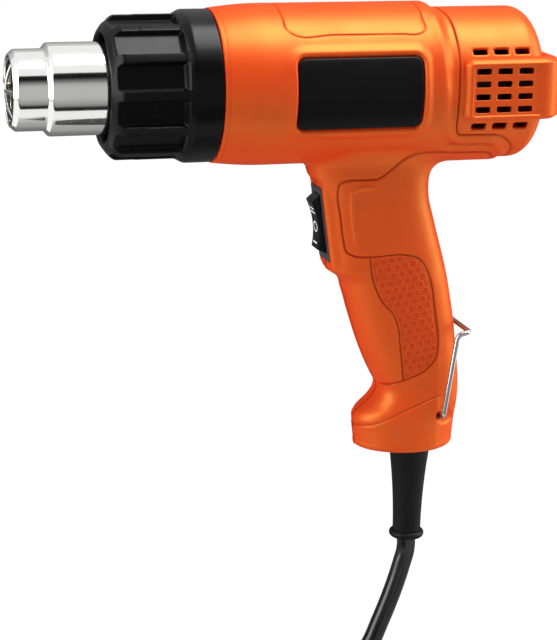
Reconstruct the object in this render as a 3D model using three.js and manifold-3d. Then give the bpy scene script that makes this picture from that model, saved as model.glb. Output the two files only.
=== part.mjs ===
// Hand-held hot air tool: two-part moulded body, heat collar, steel nozzle, rocker, bail and mains lead.
// Millimetres. X runs from nozzle to motor, Y across the tool, Z up. The origin is the middle of the grip.
import * as THREE from 'three';
import { mergeVertices } from 'three/addons/utils/BufferGeometryUtils.js';
import Module from 'manifold-3d';

const wasm = await Module();
wasm.setup();

// Fits shared by every piece
const CLEAR = 0.3;
const WALL = 2.5;
const TURN_SIDES = 32;

// Barrel of the moulded body
const AXIS_Z = 98.3;
const BODY_FRONT_X = -87.5;
const BODY_FRONT_RADIUS = 32.6;
const BODY_FULL_X = -66;
const BODY_RADIUS = 34.2;
const SHOULDER_FRONT_X = 3;
const SHOULDER_REAR_X = 13;
const REAR_RADIUS = 32.9;
const REAR_DROP = 1.34;
const REAR_END_X = 54.5;
const REAR_EDGE_RADIUS = 8.5;
const TONGUE_RADIUS = 35.3;
const TONGUE_END_X = 39.5;
const TONGUE_DROP = 26.5;

// Raised intake band round the rear of the barrel
const BAND_FRONT_X = 16;
const BAND_REAR_X = 60.8;
const BAND_HALF_WIDTH = 34.4;
const BAND_HALF_HEIGHT = 13.4;
const BAND_CORNER = 10;
const BAND_RAMP = 3.2;
const SLOT_LENGTH = 6.9;
const SLOT_HEIGHT = 2.7;
const SLOT_PITCH_X = 9.5;
const SLOT_PITCH_Z = 5.4;
const SLOT_FIRST_X = 23.9;
const SLOT_OUTER_Z = 16;

// Badge on the left side
const BADGE_FRONT_X = -56.8;
const BADGE_REAR_X = -2.9;
const BADGE_HALF_HEIGHT = 14.9;
const BADGE_CORNER = 3.2;
const BADGE_DEPTH = 1.2;
const BADGE_RIM = 3.8;
const BADGE_RISE = 0.8;

// Handle
const BASE_Z = -66.3;
const GRIP_HALF_WIDTH = 16.6;
const BASE_HALF_WIDTH = 18;
const BASE_FRONT_X = -20.2;
const BASE_REAR_X = 28.9;
const WAIST_FRONT_X = -8.6;
const GRIP_SQUARENESS = 2.8;
const BASE_SQUARENESS = 2.15;
const HANDLE_SIDES = 24;

// Shell screws, driven from the right side
const SCREW_RADIUS = 1.3;
const SCREW_HEAD_RADIUS = 2.9;
const SCREW_HEAD_HEIGHT = 2.2;
const SCREW_SEAT_Y = 7;
const SCREW_REACH_Y = -9;
const BOSS_RADIUS = 3.6;
const BOSS_WALL = 1.6;
const SCREW_SIDES = 8;

// Nozzle, heat collar and heater
const TIP_FRONT_X = -172;
const TIP_RADIUS = 17;
const TIP_BEVEL = 2.4;
const TIP_RIM = 0.8;
const TIP_LIP = 2.8;
const TIP_LIP_DEPTH = 2.2;
const TIP_STEP_X = -158;
const TIP_STEP_LENGTH = 2;
const TUBE_RADIUS = 19.4;
const TUBE_WALL = 1;
const TUBE_END_X = -30;
const FLANGE_RADIUS = 29;
const FLANGE_THICKNESS = 1.5;
const GUARD_RISE = 5.2;
const GUARD_STRIP = 1.8;
const GUARD_THICKNESS = 1.2;
const GUARD_RING_WIDTH = 2.5;
const COLLAR_FRONT_X = -133.4;
const COLLAR_BORE_RADIUS = 22.6;
const COLLAR_MOUTH_RADIUS = 24.4;
const COLLAR_NOSE_LENGTH = 6;
const COLLAR_RIB_RADIUS = 30.4;
const COLLAR_PANEL_RADIUS = 27.6;
const COLLAR_RIBS = 12;
const COLLAR_TURN = 0.447;
const COLLAR_RIB_WIDTH = 4.6;
const COLLAR_RIB_END_X = -103;
const COLLAR_FLANGE_X = -98.5;
const COLLAR_FLANGE_RADIUS = 32.2;
const COLLAR_SPIGOT_LENGTH = 10.5;
const COLLAR_WALL = 3;
const MICA_THICKNESS = 0.8;
const MICA_FRONT_X = -152;
const MICA_REAR_X = -38;
const FORMER_THICKNESS = 1.2;
const FORMER_EAR = 4;
const COIL_RADIUS = 14;
const COIL_WIRE_RADIUS = 0.7;
const COIL_TURNS = 12;

// Fan and motor
const DUCT_WALL = 1.5;
const DUCT_SIDES = 24;
const DUCT_SPIGOT = 6;
const DUCT_CONE_END_X = -8;
const DUCT_END_X = 15;
const DUCT_SEAT_WIDTH = 3;
const SPOKE_DEPTH = 3.5;
const SPOKE_WIDTH = 3;
const SPOKES = 4;
const FAN_FRONT_X = -4;
const FAN_DEPTH = 11;
const FAN_TIP_CLEAR = 1;
const FAN_HUB_RADIUS = 8;
const FAN_BLADES = 9;
const BLADE_THICKNESS = 1.3;
const BLADE_TWIST = 0.5;
const SHAFT_RADIUS = 1.6;
const SHAFT_HOLD = 12;
const MOTOR_RADIUS = 14;
const MOTOR_LENGTH = 29.5;
const MOTOR_CUP = 13;
const END_CAP_LENGTH = 4;
const END_CAP_BOSS = 2;
const BOARD_THICKNESS = 1.6;

// Rocker switch, set square to its own tilted plane
const SWITCH_X = -36.7;
const SWITCH_Z = 36.9;
const SWITCH_TILT = 0.144;
const BEZEL_LENGTH = 33.6;
const BEZEL_WIDTH = 15.5;
const BEZEL_CORNER = 2;
const BEZEL_THICKNESS = 2.4;
const SWITCH_LENGTH = 30;
const SWITCH_WIDTH = 12.6;
const SWITCH_DEPTH = 23;
const ROCKER_WIDTH = 9.6;
const ROCKER_SWEEP = 14.1;
const ROCKER_PIVOT = 5.5;
const ROCKER_PROUD = 3.8;
const ROCKER_DISH = 1.7;
const ROCKER_TAIL = 3;
const TERMINAL_LENGTH = 6;
const TERMINAL_WIDTH = 4.8;
const TERMINAL_THICKNESS = 0.8;
const TERMINAL_PITCH = 8;
const WIRE_RADIUS = 1.1;
const HEATER_LEAD_X = -16;

// Hanging bail
const BAIL_WIRE_RADIUS = 1.1;
const BAIL_PIVOT_X = 16.7;
const BAIL_PIVOT_RISE = 16.2;
const BAIL_LEG_GAP = 0.9;
const BAIL_PIN = 5.4;
const BAIL_HEIGHT = 38;
const BAIL_LEAN = 5.4;
const BAIL_HOOK = 5.6;
const BAIL_BEND = 3;

// Cord guard, clamp and mains lead
const CORD_RADIUS = 4.3;
const CORD_X = 8.2;
const GUARD_TOP_RADIUS = 9.6;
const GUARD_END_RADIUS = 6.4;
const GUARD_LENGTH = 43.1;
const GUARD_NECK_RADIUS = 7.2;
const GUARD_BEAD_RADIUS = 8;
const GUARD_BEAD_WIDTH = 3.2;
const GUARD_FLANGE = 2.4;
const CLAMP_Z = -31;
const CLAMP_LENGTH = 25;
const CLAMP_HEIGHT = 8;
const CLAMP_THICKNESS = 3.5;
const CLAMP_POST_RADIUS = 3.4;
const CLAMP_PITCH = 18;
const INNER_CORD_TOP_Z = -25;

// Put-away lead: a two-layer coil on the surface under the tool, a tie and a two-pin plug
const FLOOR_Z = -185;
const LOOP_PITCH = 9.3;
const LOOP_INNER_RADIUS = 30;
const LOOP_TURNS = 6.5;
const LOOP_REVERSAL = 0.12;
const LOOP_CENTRE_X = -70;
const LOOP_STEPS = 22;
const TIE_THICKNESS = 0.8;
const TIE_WIDTH = 9;
const PLUG_LENGTH = 38;
const PLUG_WIDTH = 27;
const PLUG_HEIGHT = 15;
const PIN_RADIUS = 2.4;
const PIN_LENGTH = 19;
const PIN_PITCH = 18.6;

const ORANGE = 0xe5602a;
const BLACK = 0x1c1c1e;
const STEEL = 0xd8dadd;
const MICA = 0xc9b48a;
const BRASS = 0xc9a24c;

const tool = new THREE.Group();

// Closed solid of a geometry: shared vertices merged, slivers at the poles dropped, faces turned outwards.
function solid(geometry) {
  const bare = geometry.clone();
  bare.deleteAttribute('normal');
  bare.deleteAttribute('uv');
  const merged = mergeVertices(bare, 1e-4);
  const place = merged.attributes.position;
  const corners = [];
  let volume = 0;
  const [a, b, c] = [new THREE.Vector3(), new THREE.Vector3(), new THREE.Vector3()];
  for (let i = 0; i < merged.index.count; i += 3) {
    const [p, q, r] = [merged.index.getX(i), merged.index.getX(i + 1), merged.index.getX(i + 2)];
    if (p === q || q === r || r === p) continue;
    corners.push(p, q, r);
    a.fromBufferAttribute(place, p);
    b.fromBufferAttribute(place, q);
    c.fromBufferAttribute(place, r);
    volume += a.dot(b.cross(c));
  }
  if (volume < 0) corners.reverse();
  const vertProperties = Float32Array.from(place.array);
  const triVerts = Uint32Array.from(corners);
  return new wasm.Manifold(new wasm.Mesh({ numProp: 3, vertProperties, triVerts }));
}

function geometryOf(body) {
  const mesh = body.getMesh();
  const geometry = new THREE.BufferGeometry();
  geometry.setAttribute('position', new THREE.BufferAttribute(Float32Array.from(mesh.vertProperties), 3));
  geometry.setIndex(new THREE.BufferAttribute(Uint32Array.from(mesh.triVerts), 1));
  geometry.computeVertexNormals();
  return geometry;
}

// Adds one named piece, given as a solid or a geometry.
function add(name, shape, color, roughness = 0.5, metalness = 0, parent = tool) {
  const body = shape.isBufferGeometry ? solid(shape) : shape;
  const material = new THREE.MeshStandardMaterial({ color, roughness, metalness });
  const mesh = new THREE.Mesh(geometryOf(body), material);
  mesh.name = name;
  parent.add(mesh);
  return mesh;
}

function union(bodies) {
  return bodies.reduce((sum, body) => sum.add(body));
}

function box(x0, x1, y0, y1, z0, z1) {
  const geometry = new THREE.BoxGeometry(x1 - x0, y1 - y0, z1 - z0);
  return solid(geometry.translate((x0 + x1) / 2, (y0 + y1) / 2, (z0 + z1) / 2));
}

// Round bar along Y.
function barY(x, z, radius, y0, y1, sides = 10) {
  const geometry = new THREE.CylinderGeometry(radius, radius, y1 - y0, sides);
  return solid(geometry.translate(x, (y0 + y1) / 2, z));
}

// Piece turned about the barrel axis from a profile of [x, radius] points.
function turnedX(profile, sides = TURN_SIDES) {
  const points = profile.map(([x, r]) => new THREE.Vector2(r, x));
  return solid(new THREE.LatheGeometry(points, sides).rotateZ(-Math.PI / 2).translate(0, 0, AXIS_Z));
}

function ringX(x0, x1, inner, outer, sides = TURN_SIDES) {
  return turnedX([[x0, inner], [x0, outer], [x1, outer], [x1, inner], [x0, inner]], sides);
}

// Piece turned about an upright line from a profile of [z, radius] points.
function turnedZ(profile, x, sides) {
  const points = profile.map(([z, r]) => new THREE.Vector2(r, z));
  return solid(new THREE.LatheGeometry(points, sides).rotateX(Math.PI / 2).translate(x, 0, 0));
}

function arcPoints(x, r, radius, from, to, steps) {
  const at = (i) => from + ((to - from) * i) / steps;
  const point = (_, i) => [x + radius * Math.cos(at(i)), r + radius * Math.sin(at(i))];
  return Array.from({ length: steps + 1 }, point);
}

function roundedRectangle(x0, x1, y0, y1, radius) {
  const shape = new THREE.Shape();
  shape.moveTo(x0 + radius, y0);
  shape.lineTo(x1 - radius, y0);
  shape.absarc(x1 - radius, y0 + radius, radius, -Math.PI / 2, 0);
  shape.lineTo(x1, y1 - radius);
  shape.absarc(x1 - radius, y1 - radius, radius, 0, Math.PI / 2);
  shape.lineTo(x0 + radius, y1);
  shape.absarc(x0 + radius, y1 - radius, radius, Math.PI / 2, Math.PI);
  shape.lineTo(x0, y0 + radius);
  shape.absarc(x0 + radius, y0 + radius, radius, Math.PI, Math.PI * 1.5);
  return shape;
}

function extruded(shape, depth, curveSegments = 2) {
  return new THREE.ExtrudeGeometry(shape, { depth, curveSegments, bevelEnabled: false });
}

// Tube along a curve.
function tube(curve, radius, sides, steps) {
  const section = new THREE.Shape();
  section.absarc(0, 0, radius, 0, Math.PI * 2);
  const options = { extrudePath: curve, steps, curveSegments: sides / 2, bevelEnabled: false };
  return solid(new THREE.ExtrudeGeometry(section, options));
}

function smoothLine(points) {
  const places = points.map(([x, y, z]) => new THREE.Vector3(x, y, z));
  return new THREE.CatmullRomCurve3(places, false, 'centripetal');
}

// One unbroken round wire through points worked out by a formula, closed at both ends.
function woundTube(path, radius, sides) {
  const rows = path.length;
  const place = [];
  const index = [];
  const across = new THREE.Vector3();
  const upright = new THREE.Vector3();
  let side = new THREE.Vector3(0, 0, 1);
  path.forEach((point, i) => {
    const ahead = path[Math.min(i + 1, rows - 1)].clone().sub(path[Math.max(i - 1, 0)]).normalize();
    across.copy(side).addScaledVector(ahead, -side.dot(ahead)).normalize();
    upright.crossVectors(ahead, across);
    side = across.clone();
    for (let k = 0; k < sides; k += 1) {
      const turn = ((k + 0.5) / sides) * Math.PI * 2;
      const rim = point.clone().addScaledVector(across, radius * Math.cos(turn));
      place.push(...rim.addScaledVector(upright, radius * Math.sin(turn)).toArray());
    }
  });
  for (let i = 0; i + 1 < rows; i += 1) {
    for (let k = 0; k < sides; k += 1) {
      const [p, q] = [i * sides + k, i * sides + ((k + 1) % sides)];
      index.push(p, p + sides, q, q, p + sides, q + sides);
    }
  }
  const last = (rows - 1) * sides;
  for (let k = 1; k + 1 < sides; k += 1) {
    index.push(0, k, k + 1, last, last + k + 1, last + k);
  }
  const geometry = new THREE.BufferGeometry();
  geometry.setAttribute('position', new THREE.Float32BufferAttribute(place, 3));
  geometry.setIndex(index);
  return geometry;
}

// Least gap between stretches of a wound wire that lie at least half a turn apart along it.
function leastGap(path, radius, apart) {
  let least = Infinity;
  for (let i = 0; i < path.length; i += 1) {
    for (let j = i + apart; j < path.length; j += 1) {
      least = Math.min(least, path[i].distanceTo(path[j]) - 2 * radius);
    }
  }
  return least;
}

// Moulded body: barrel, tongue, intake band and handle, drawn in by an inset for the hollow inside.
// The rear of the barrel is turned about a line a little under the axis of the front.
function barrel(inset) {
  const front = inset > 0 ? BODY_FRONT_X - WALL : BODY_FRONT_X;
  const foot = REAR_RADIUS - REAR_DROP - CLEAR / 3;
  const swell = [0, 0.4, 1].map((t) => [
    BODY_FRONT_X + (BODY_FULL_X - BODY_FRONT_X) * t,
    BODY_FRONT_RADIUS + (BODY_RADIUS - BODY_FRONT_RADIUS) * Math.sin((t * Math.PI) / 2) - inset]);
  const shoulder = [0, 0.3, 0.7, 1].map((t) => [
    SHOULDER_FRONT_X + (SHOULDER_REAR_X - SHOULDER_FRONT_X) * t,
    BODY_RADIUS + (foot - BODY_RADIUS) * t * t * (3 - 2 * t) - inset]);
  const fore = turnedX([[front, 0], [front, BODY_FRONT_RADIUS - inset], ...swell.slice(inset > 0 ? 0 : 1),
    ...shoulder, [SHOULDER_REAR_X, 0]]);
  const edge = arcPoints(REAR_END_X - REAR_EDGE_RADIUS, REAR_RADIUS - REAR_EDGE_RADIUS,
    REAR_EDGE_RADIUS - inset, Math.PI / 2, 0, 4);
  const rearFront = SHOULDER_FRONT_X + 1;
  const rear = turnedX([[rearFront, 0], [rearFront, REAR_RADIUS - inset], ...edge, [REAR_END_X - inset, 0]]);
  return fore.add(rear.translate([0, 0, -REAR_DROP]));
}

// Tongue under the rear of the barrel, running back from the handle.
function tongue() {
  const foot = AXIS_Z - TONGUE_RADIUS;
  const under = box(SHOULDER_FRONT_X, TONGUE_END_X, -TONGUE_RADIUS, TONGUE_RADIUS, foot - WALL,
    AXIS_Z - TONGUE_DROP);
  return turnedX([[SHOULDER_FRONT_X, 0], [SHOULDER_FRONT_X, TONGUE_RADIUS], [TONGUE_END_X, TONGUE_RADIUS],
    [TONGUE_END_X, 0]]).intersect(under);
}

function intakeBand(inset) {
  const [front, rear] = [BAND_FRONT_X + inset, BAND_REAR_X - inset];
  const half = BAND_HALF_WIDTH - inset;
  const root = half - BAND_RAMP;
  const corner = BAND_CORNER - inset;
  const plan = new THREE.Shape();
  plan.moveTo(front, -root);
  plan.lineTo(front + BAND_RAMP, -half);
  plan.lineTo(rear - corner, -half);
  plan.absarc(rear - corner, corner - half, corner, -Math.PI / 2, 0);
  plan.lineTo(rear, half - corner);
  plan.absarc(rear - corner, half - corner, corner, 0, Math.PI / 2);
  plan.lineTo(front + BAND_RAMP, half);
  plan.lineTo(front, root);
  const height = BAND_HALF_HEIGHT - inset;
  return solid(extruded(plan, 2 * height).translate(0, 0, AXIS_Z - height));
}

// Handle stations from the base up: height, front edge, rear edge, half width, squareness.
const barrelFoot = AXIS_Z - BODY_RADIUS;
function handleStations() {
  const [base, grip] = [BASE_SQUARENESS, GRIP_SQUARENESS];
  const between = (base + grip) / 2;
  return [
    [BASE_Z, BASE_FRONT_X + 1.1, BASE_REAR_X - 0.8, BASE_HALF_WIDTH - 0.8, base],
    [BASE_Z + 0.7, BASE_FRONT_X + 0.5, BASE_REAR_X - 0.2, BASE_HALF_WIDTH - 0.2, base],
    [BASE_Z + 12, BASE_FRONT_X, BASE_REAR_X, BASE_HALF_WIDTH, base],
    [BASE_Z + 15.8, BASE_FRONT_X + 2, BASE_REAR_X, BASE_HALF_WIDTH - 0.1, base],
    [BASE_Z + 21, WAIST_FRONT_X - 3.4, BASE_REAR_X - 0.2, (BASE_HALF_WIDTH + GRIP_HALF_WIDTH) / 2, between],
    [BASE_Z + 24.8, WAIST_FRONT_X - 0.6, BASE_REAR_X - 0.3, GRIP_HALF_WIDTH + 0.2, between],
    [BASE_Z + 28, WAIST_FRONT_X, BASE_REAR_X - 0.4, GRIP_HALF_WIDTH - 0.2, grip],
    [BASE_Z + 32.3, WAIST_FRONT_X - 2, BASE_REAR_X - 0.6, GRIP_HALF_WIDTH - 0.2, grip],
    [-29, WAIST_FRONT_X - 4.5, 27.9, GRIP_HALF_WIDTH - 0.2, grip],
    [-20, WAIST_FRONT_X - 8.3, 26.9, GRIP_HALF_WIDTH, grip],
    [-3.4, -22.6, 24.3, GRIP_HALF_WIDTH + 0.2, grip],
    [6, -25.5, 22.5, GRIP_HALF_WIDTH + 0.4, grip],
    [12.9, -28.4, 21.1, GRIP_HALF_WIDTH + 0.4, grip],
    [16.6, -33.5, 20.2, GRIP_HALF_WIDTH + 0.4, grip],
    [37, -36.2, 14.4, GRIP_HALF_WIDTH + 0.4, grip],
    [50, -38.1, 11, GRIP_HALF_WIDTH + 0.6, grip],
    [barrelFoot - 6.5, -41.6, 11.6, GRIP_HALF_WIDTH + 1.2, grip],
    [barrelFoot - 1.5, -45.4, 15.9, GRIP_HALF_WIDTH + 2.2, grip],
    [barrelFoot + 4, -52, 26, GRIP_HALF_WIDTH + 4.4, grip],
    [barrelFoot + 10, -53, 30, GRIP_HALF_WIDTH + 4.4, grip],
  ];
}

// Loft of level superellipse rings through the stations.
function handle(inset) {
  const rings = handleStations();
  if (inset > 0) rings[0][0] += inset;
  const place = [];
  const index = [];
  rings.forEach(([z, front, rear, half, squareness]) => {
    const deep = (rear - front) / 2 - inset;
    const wide = half - inset;
    const power = 2 / squareness;
    for (let k = 0; k < HANDLE_SIDES; k += 1) {
      const turn = ((k + 0.5) / HANDLE_SIDES) * Math.PI * 2;
      const [c, s] = [Math.cos(turn), Math.sin(turn)];
      const x = (front + rear) / 2 + deep * Math.sign(c) * Math.abs(c) ** power;
      place.push(x, wide * Math.sign(s) * Math.abs(s) ** power, z);
    }
  });
  for (let i = 0; i + 1 < rings.length; i += 1) {
    for (let k = 0; k < HANDLE_SIDES; k += 1) {
      const [p, q] = [i * HANDLE_SIDES + k, i * HANDLE_SIDES + ((k + 1) % HANDLE_SIDES)];
      index.push(p, q, p + HANDLE_SIDES, q, q + HANDLE_SIDES, p + HANDLE_SIDES);
    }
  }
  const top = (rings.length - 1) * HANDLE_SIDES;
  for (let k = 1; k + 1 < HANDLE_SIDES; k += 1) {
    index.push(0, k + 1, k, top, top + k, top + k + 1);
  }
  const geometry = new THREE.BufferGeometry();
  geometry.setAttribute('position', new THREE.Float32BufferAttribute(place, 3));
  geometry.setIndex(index);
  return solid(geometry);
}

const moulding = union([barrel(0), tongue(), intakeBand(0), handle(0)]);
const hollow = union([barrel(WALL), intakeBand(WALL), handle(WALL)]);

// Switch frame: origin in the middle of the bezel's outer face, -X out of the handle, Z along the bezel.
const switchFrame = new THREE.Group();
switchFrame.position.set(SWITCH_X, 0, SWITCH_Z);
switchFrame.rotation.y = -SWITCH_TILT;
switchFrame.updateMatrix();
tool.add(switchFrame);

function switchBox(x0, x1, half, length) {
  const geometry = new THREE.BoxGeometry(x1 - x0, 2 * half, length).translate((x0 + x1) / 2, 0, 0);
  return geometry;
}

// Bail, cord and screw places, in X and Z
const pivotZ = BASE_Z + BAIL_PIVOT_RISE;
const frontBossRise = BODY_RADIUS - WALL - CLEAR - BOSS_RADIUS - BOSS_WALL;
const rearBossRise = REAR_RADIUS - REAR_DROP - WALL - CLEAR - BOSS_RADIUS - BOSS_WALL;
const rearBossX = (SHOULDER_REAR_X + REAR_END_X) / 2;
const shellScrews = [
  [BODY_FULL_X + 5, AXIS_Z + frontBossRise],
  [BODY_FULL_X + 5, AXIS_Z - frontBossRise],
  [rearBossX, AXIS_Z + rearBossRise],
  [rearBossX, AXIS_Z - rearBossRise],
  [3, 28],
  [17, -12],
];
const clampScrews = [-1, 1].map((side) => [CORD_X + (side * CLAMP_PITCH) / 2, CLAMP_Z]);

// Nozzle flange place: just behind the collar's spigot, held by a rib in the shells.
const flangeX = BODY_FRONT_X + COLLAR_SPIGOT_LENGTH + CLEAR;
const flangeRibX = flangeX + FLANGE_THICKNESS + CLEAR;

function ventSlots(side) {
  const cuts = [];
  const deep = BAND_HALF_WIDTH - WALL - 8;
  const cut = (x, z, near) => {
    const [y0, y1] = side < 0 ? [-BAND_HALF_WIDTH - 1, -near] : [near, BAND_HALF_WIDTH + 1];
    const half = [SLOT_LENGTH / 2, SLOT_HEIGHT / 2];
    cuts.push(box(x - half[0], x + half[0], y0, y1, z - half[1], z + half[1]));
  };
  for (let column = 0; column < 3; column += 1) {
    const x = SLOT_FIRST_X + column * SLOT_PITCH_X;
    for (let row = 0; row < 4; row += 1) cut(x, AXIS_Z + (row - 1.5) * SLOT_PITCH_Z, deep);
    for (const end of [-1, 1]) cut(x, AXIS_Z + end * SLOT_OUTER_Z, deep - 2);
  }
  return union(cuts);
}

// Badge outline seen from the side, as a prism through the left wall.
function badgePrism(grow) {
  const outline = roundedRectangle(BADGE_FRONT_X - grow, BADGE_REAR_X + grow,
    -BADGE_HALF_HEIGHT - grow, BADGE_HALF_HEIGHT + grow, BADGE_CORNER + grow);
  const geometry = extruded(outline, BODY_RADIUS).rotateX(Math.PI / 2).translate(0, -WALL, AXIS_Z);
  return solid(geometry);
}

function badgeLayer(inner, outer, grow) {
  return ringX(BODY_FULL_X, SHOULDER_FRONT_X + WALL, inner, outer, TURN_SIDES).intersect(badgePrism(grow));
}

// Half of the moulded body: side -1 is the left half with the badge, side 1 the right with the screw heads.
function shell(side) {
  const reach = 2 * BODY_RADIUS;
  const [y0, y1] = side < 0 ? [-reach, -CLEAR / 2] : [CLEAR / 2, reach];
  const half = box(TIP_FRONT_X, 2 * BAND_REAR_X, y0, y1, 2 * BASE_Z, 2 * AXIS_Z);
  const inHalf = (body) => body.intersect(moulding).intersect(half);
  const bosses = shellScrews.map(([x, z]) => {
    const radius = side < 0 ? BOSS_RADIUS : BOSS_RADIUS + BOSS_WALL;
    return inHalf(barY(x, z, radius, y0, y1));
  });
  const rib = inHalf(ringX(flangeRibX, flangeRibX + WALL, TUBE_RADIUS + CLEAR, BODY_RADIUS - WALL / 2));
  let body = union([moulding.subtract(hollow).intersect(half), rib, ...bosses]);
  const cuts = [ventSlots(side)];
  if (side < 0) {
    const posts = clampScrews.map(([x, z]) => barY(x, z, CLAMP_POST_RADIUS, y0, CORD_RADIUS - CLEAR));
    body = union([body, ...posts.map((post) => post.intersect(moulding))]);
    body = body.add(badgeLayer(BODY_RADIUS - WALL / 2, BODY_RADIUS + BADGE_RISE, BADGE_RIM));
    cuts.push(badgeLayer(BODY_RADIUS - BADGE_DEPTH, BODY_RADIUS + WALL, CLEAR));
    const pilot = ([x, z], top) => barY(x, z, SCREW_RADIUS + CLEAR, SCREW_REACH_Y - CLEAR, top);
    cuts.push(...shellScrews.map((place) => pilot(place, 1)));
    cuts.push(...clampScrews.map((place) => pilot(place, WALL * 2)));
  } else {
    for (const [x, z] of shellScrews) {
      cuts.push(barY(x, z, SCREW_RADIUS + CLEAR, -1, SCREW_SEAT_Y + 1));
      cuts.push(barY(x, z, SCREW_HEAD_RADIUS + CLEAR, SCREW_SEAT_Y, reach));
    }
  }
  const switchHole = switchBox(BEZEL_THICKNESS / 2, SWITCH_DEPTH, SWITCH_WIDTH / 2 + CLEAR,
    SWITCH_LENGTH + 2 * CLEAR);
  const bezelRoom = switchBox(-WALL, BEZEL_THICKNESS + CLEAR, BEZEL_WIDTH / 2 + CLEAR,
    BEZEL_LENGTH + 2 * CLEAR);
  cuts.push(solid(switchHole.applyMatrix4(switchFrame.matrix)));
  cuts.push(solid(bezelRoom.applyMatrix4(switchFrame.matrix)));
  cuts.push(turnedZ([[BASE_Z - 1, 0], [BASE_Z - 1, GUARD_NECK_RADIUS + CLEAR],
    [BASE_Z + 2 * WALL, GUARD_NECK_RADIUS + CLEAR], [BASE_Z + 2 * WALL, 0]], CORD_X, 16));
  cuts.push(barY(BAIL_PIVOT_X, pivotZ, BAIL_WIRE_RADIUS + CLEAR, -BODY_RADIUS, BODY_RADIUS, 10));
  for (const cut of cuts) body = body.subtract(cut);
  return body;
}

add('left_shell', shell(-1), ORANGE, 0.45);
add('right_shell', shell(1), ORANGE, 0.45);
const plate = badgeLayer(BODY_RADIUS - BADGE_DEPTH + CLEAR, BODY_RADIUS + BADGE_RISE / 2, 0);
add('badge_plate', plate, BLACK, 0.4);

// Screw along Y with its head towards the right side.
function screw(x, z, seat, reach) {
  const crown = seat + SCREW_HEAD_HEIGHT;
  const profile = [[0, reach], [SCREW_RADIUS, reach], [SCREW_RADIUS, seat], [SCREW_HEAD_RADIUS, seat],
    [SCREW_HEAD_RADIUS, crown - SCREW_HEAD_HEIGHT / 3], [SCREW_HEAD_RADIUS * 0.7, crown], [0, crown]];
  const points = profile.map(([r, y]) => new THREE.Vector2(r, y));
  return new THREE.LatheGeometry(points, SCREW_SIDES).translate(x, 0, z);
}

shellScrews.forEach(([x, z], i) => {
  add(`shell_screw_${i + 1}`, screw(x, z, SCREW_SEAT_Y + CLEAR, SCREW_REACH_Y), STEEL, 0.35, 1);
});

// Heat collar: turned ring with a bevelled nose, flat panels cut between the ribs, a spigot in the shells.
const spigotRadius = Math.min(BODY_FRONT_RADIUS, BODY_RADIUS) - WALL - CLEAR;
const collarEnd = BODY_FRONT_X - CLEAR;
function heatCollar() {
  const noseEnd = COLLAR_FRONT_X + COLLAR_NOSE_LENGTH;
  const spigotEnd = BODY_FRONT_X + COLLAR_SPIGOT_LENGTH;
  const spigotBore = spigotRadius - COLLAR_WALL;
  let ring = turnedX([[COLLAR_FRONT_X, COLLAR_MOUTH_RADIUS],
    [COLLAR_FRONT_X + COLLAR_NOSE_LENGTH * 0.25, (COLLAR_MOUTH_RADIUS + COLLAR_RIB_RADIUS) / 2],
    [noseEnd, COLLAR_RIB_RADIUS], [COLLAR_RIB_END_X, COLLAR_RIB_RADIUS],
    [COLLAR_FLANGE_X, COLLAR_FLANGE_RADIUS], [collarEnd, COLLAR_FLANGE_RADIUS],
    [collarEnd, spigotRadius], [spigotEnd, spigotRadius], [spigotEnd, spigotBore],
    [COLLAR_FLANGE_X, spigotBore], [noseEnd, COLLAR_BORE_RADIUS],
    [COLLAR_FRONT_X + 1, COLLAR_BORE_RADIUS], [COLLAR_FRONT_X, COLLAR_MOUTH_RADIUS]], 3 * COLLAR_RIBS);
  const span = 2 * COLLAR_RIB_RADIUS * Math.sin(Math.PI / COLLAR_RIBS) - COLLAR_RIB_WIDTH;
  const length = COLLAR_RIB_END_X - COLLAR_FRONT_X;
  for (let i = 0; i < COLLAR_RIBS; i += 1) {
    const depth = COLLAR_RIB_RADIUS;
    const panel = new THREE.BoxGeometry(length, span, depth);
    panel.translate(COLLAR_FRONT_X + length / 2, 0, COLLAR_PANEL_RADIUS + depth / 2);
    panel.rotateX(((i + COLLAR_TURN) / COLLAR_RIBS) * Math.PI * 2).translate(0, 0, AXIS_Z);
    ring = ring.subtract(solid(panel));
  }
  return ring;
}
add('heat_collar', heatCollar(), BLACK, 0.55);

// Steel outlet tube with its stepped tip, rolled lip and rear flange.
const tubeBore = TUBE_RADIUS - TUBE_WALL;
const tipBore = TIP_RADIUS - TUBE_WALL;
const lipRadius = TIP_RADIUS - TIP_LIP;
const stepEnd = TIP_STEP_X + TIP_STEP_LENGTH;
add('nozzle_tube', turnedX([[TIP_FRONT_X, lipRadius], [TIP_FRONT_X, lipRadius + TIP_RIM],
  [TIP_FRONT_X + TIP_BEVEL, TIP_RADIUS], [TIP_STEP_X, TIP_RADIUS], [stepEnd, TUBE_RADIUS],
  [flangeX, TUBE_RADIUS], [flangeX, FLANGE_RADIUS], [flangeX + FLANGE_THICKNESS, FLANGE_RADIUS],
  [flangeX + FLANGE_THICKNESS, TUBE_RADIUS], [TUBE_END_X, TUBE_RADIUS], [TUBE_END_X, tubeBore],
  [stepEnd, tubeBore], [TIP_STEP_X, tipBore], [TIP_FRONT_X + TIP_LIP_DEPTH, tipBore],
  [TIP_FRONT_X + TIP_LIP_DEPTH, lipRadius], [TIP_FRONT_X, lipRadius]]), STEEL, 0.18, 1);

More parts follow.
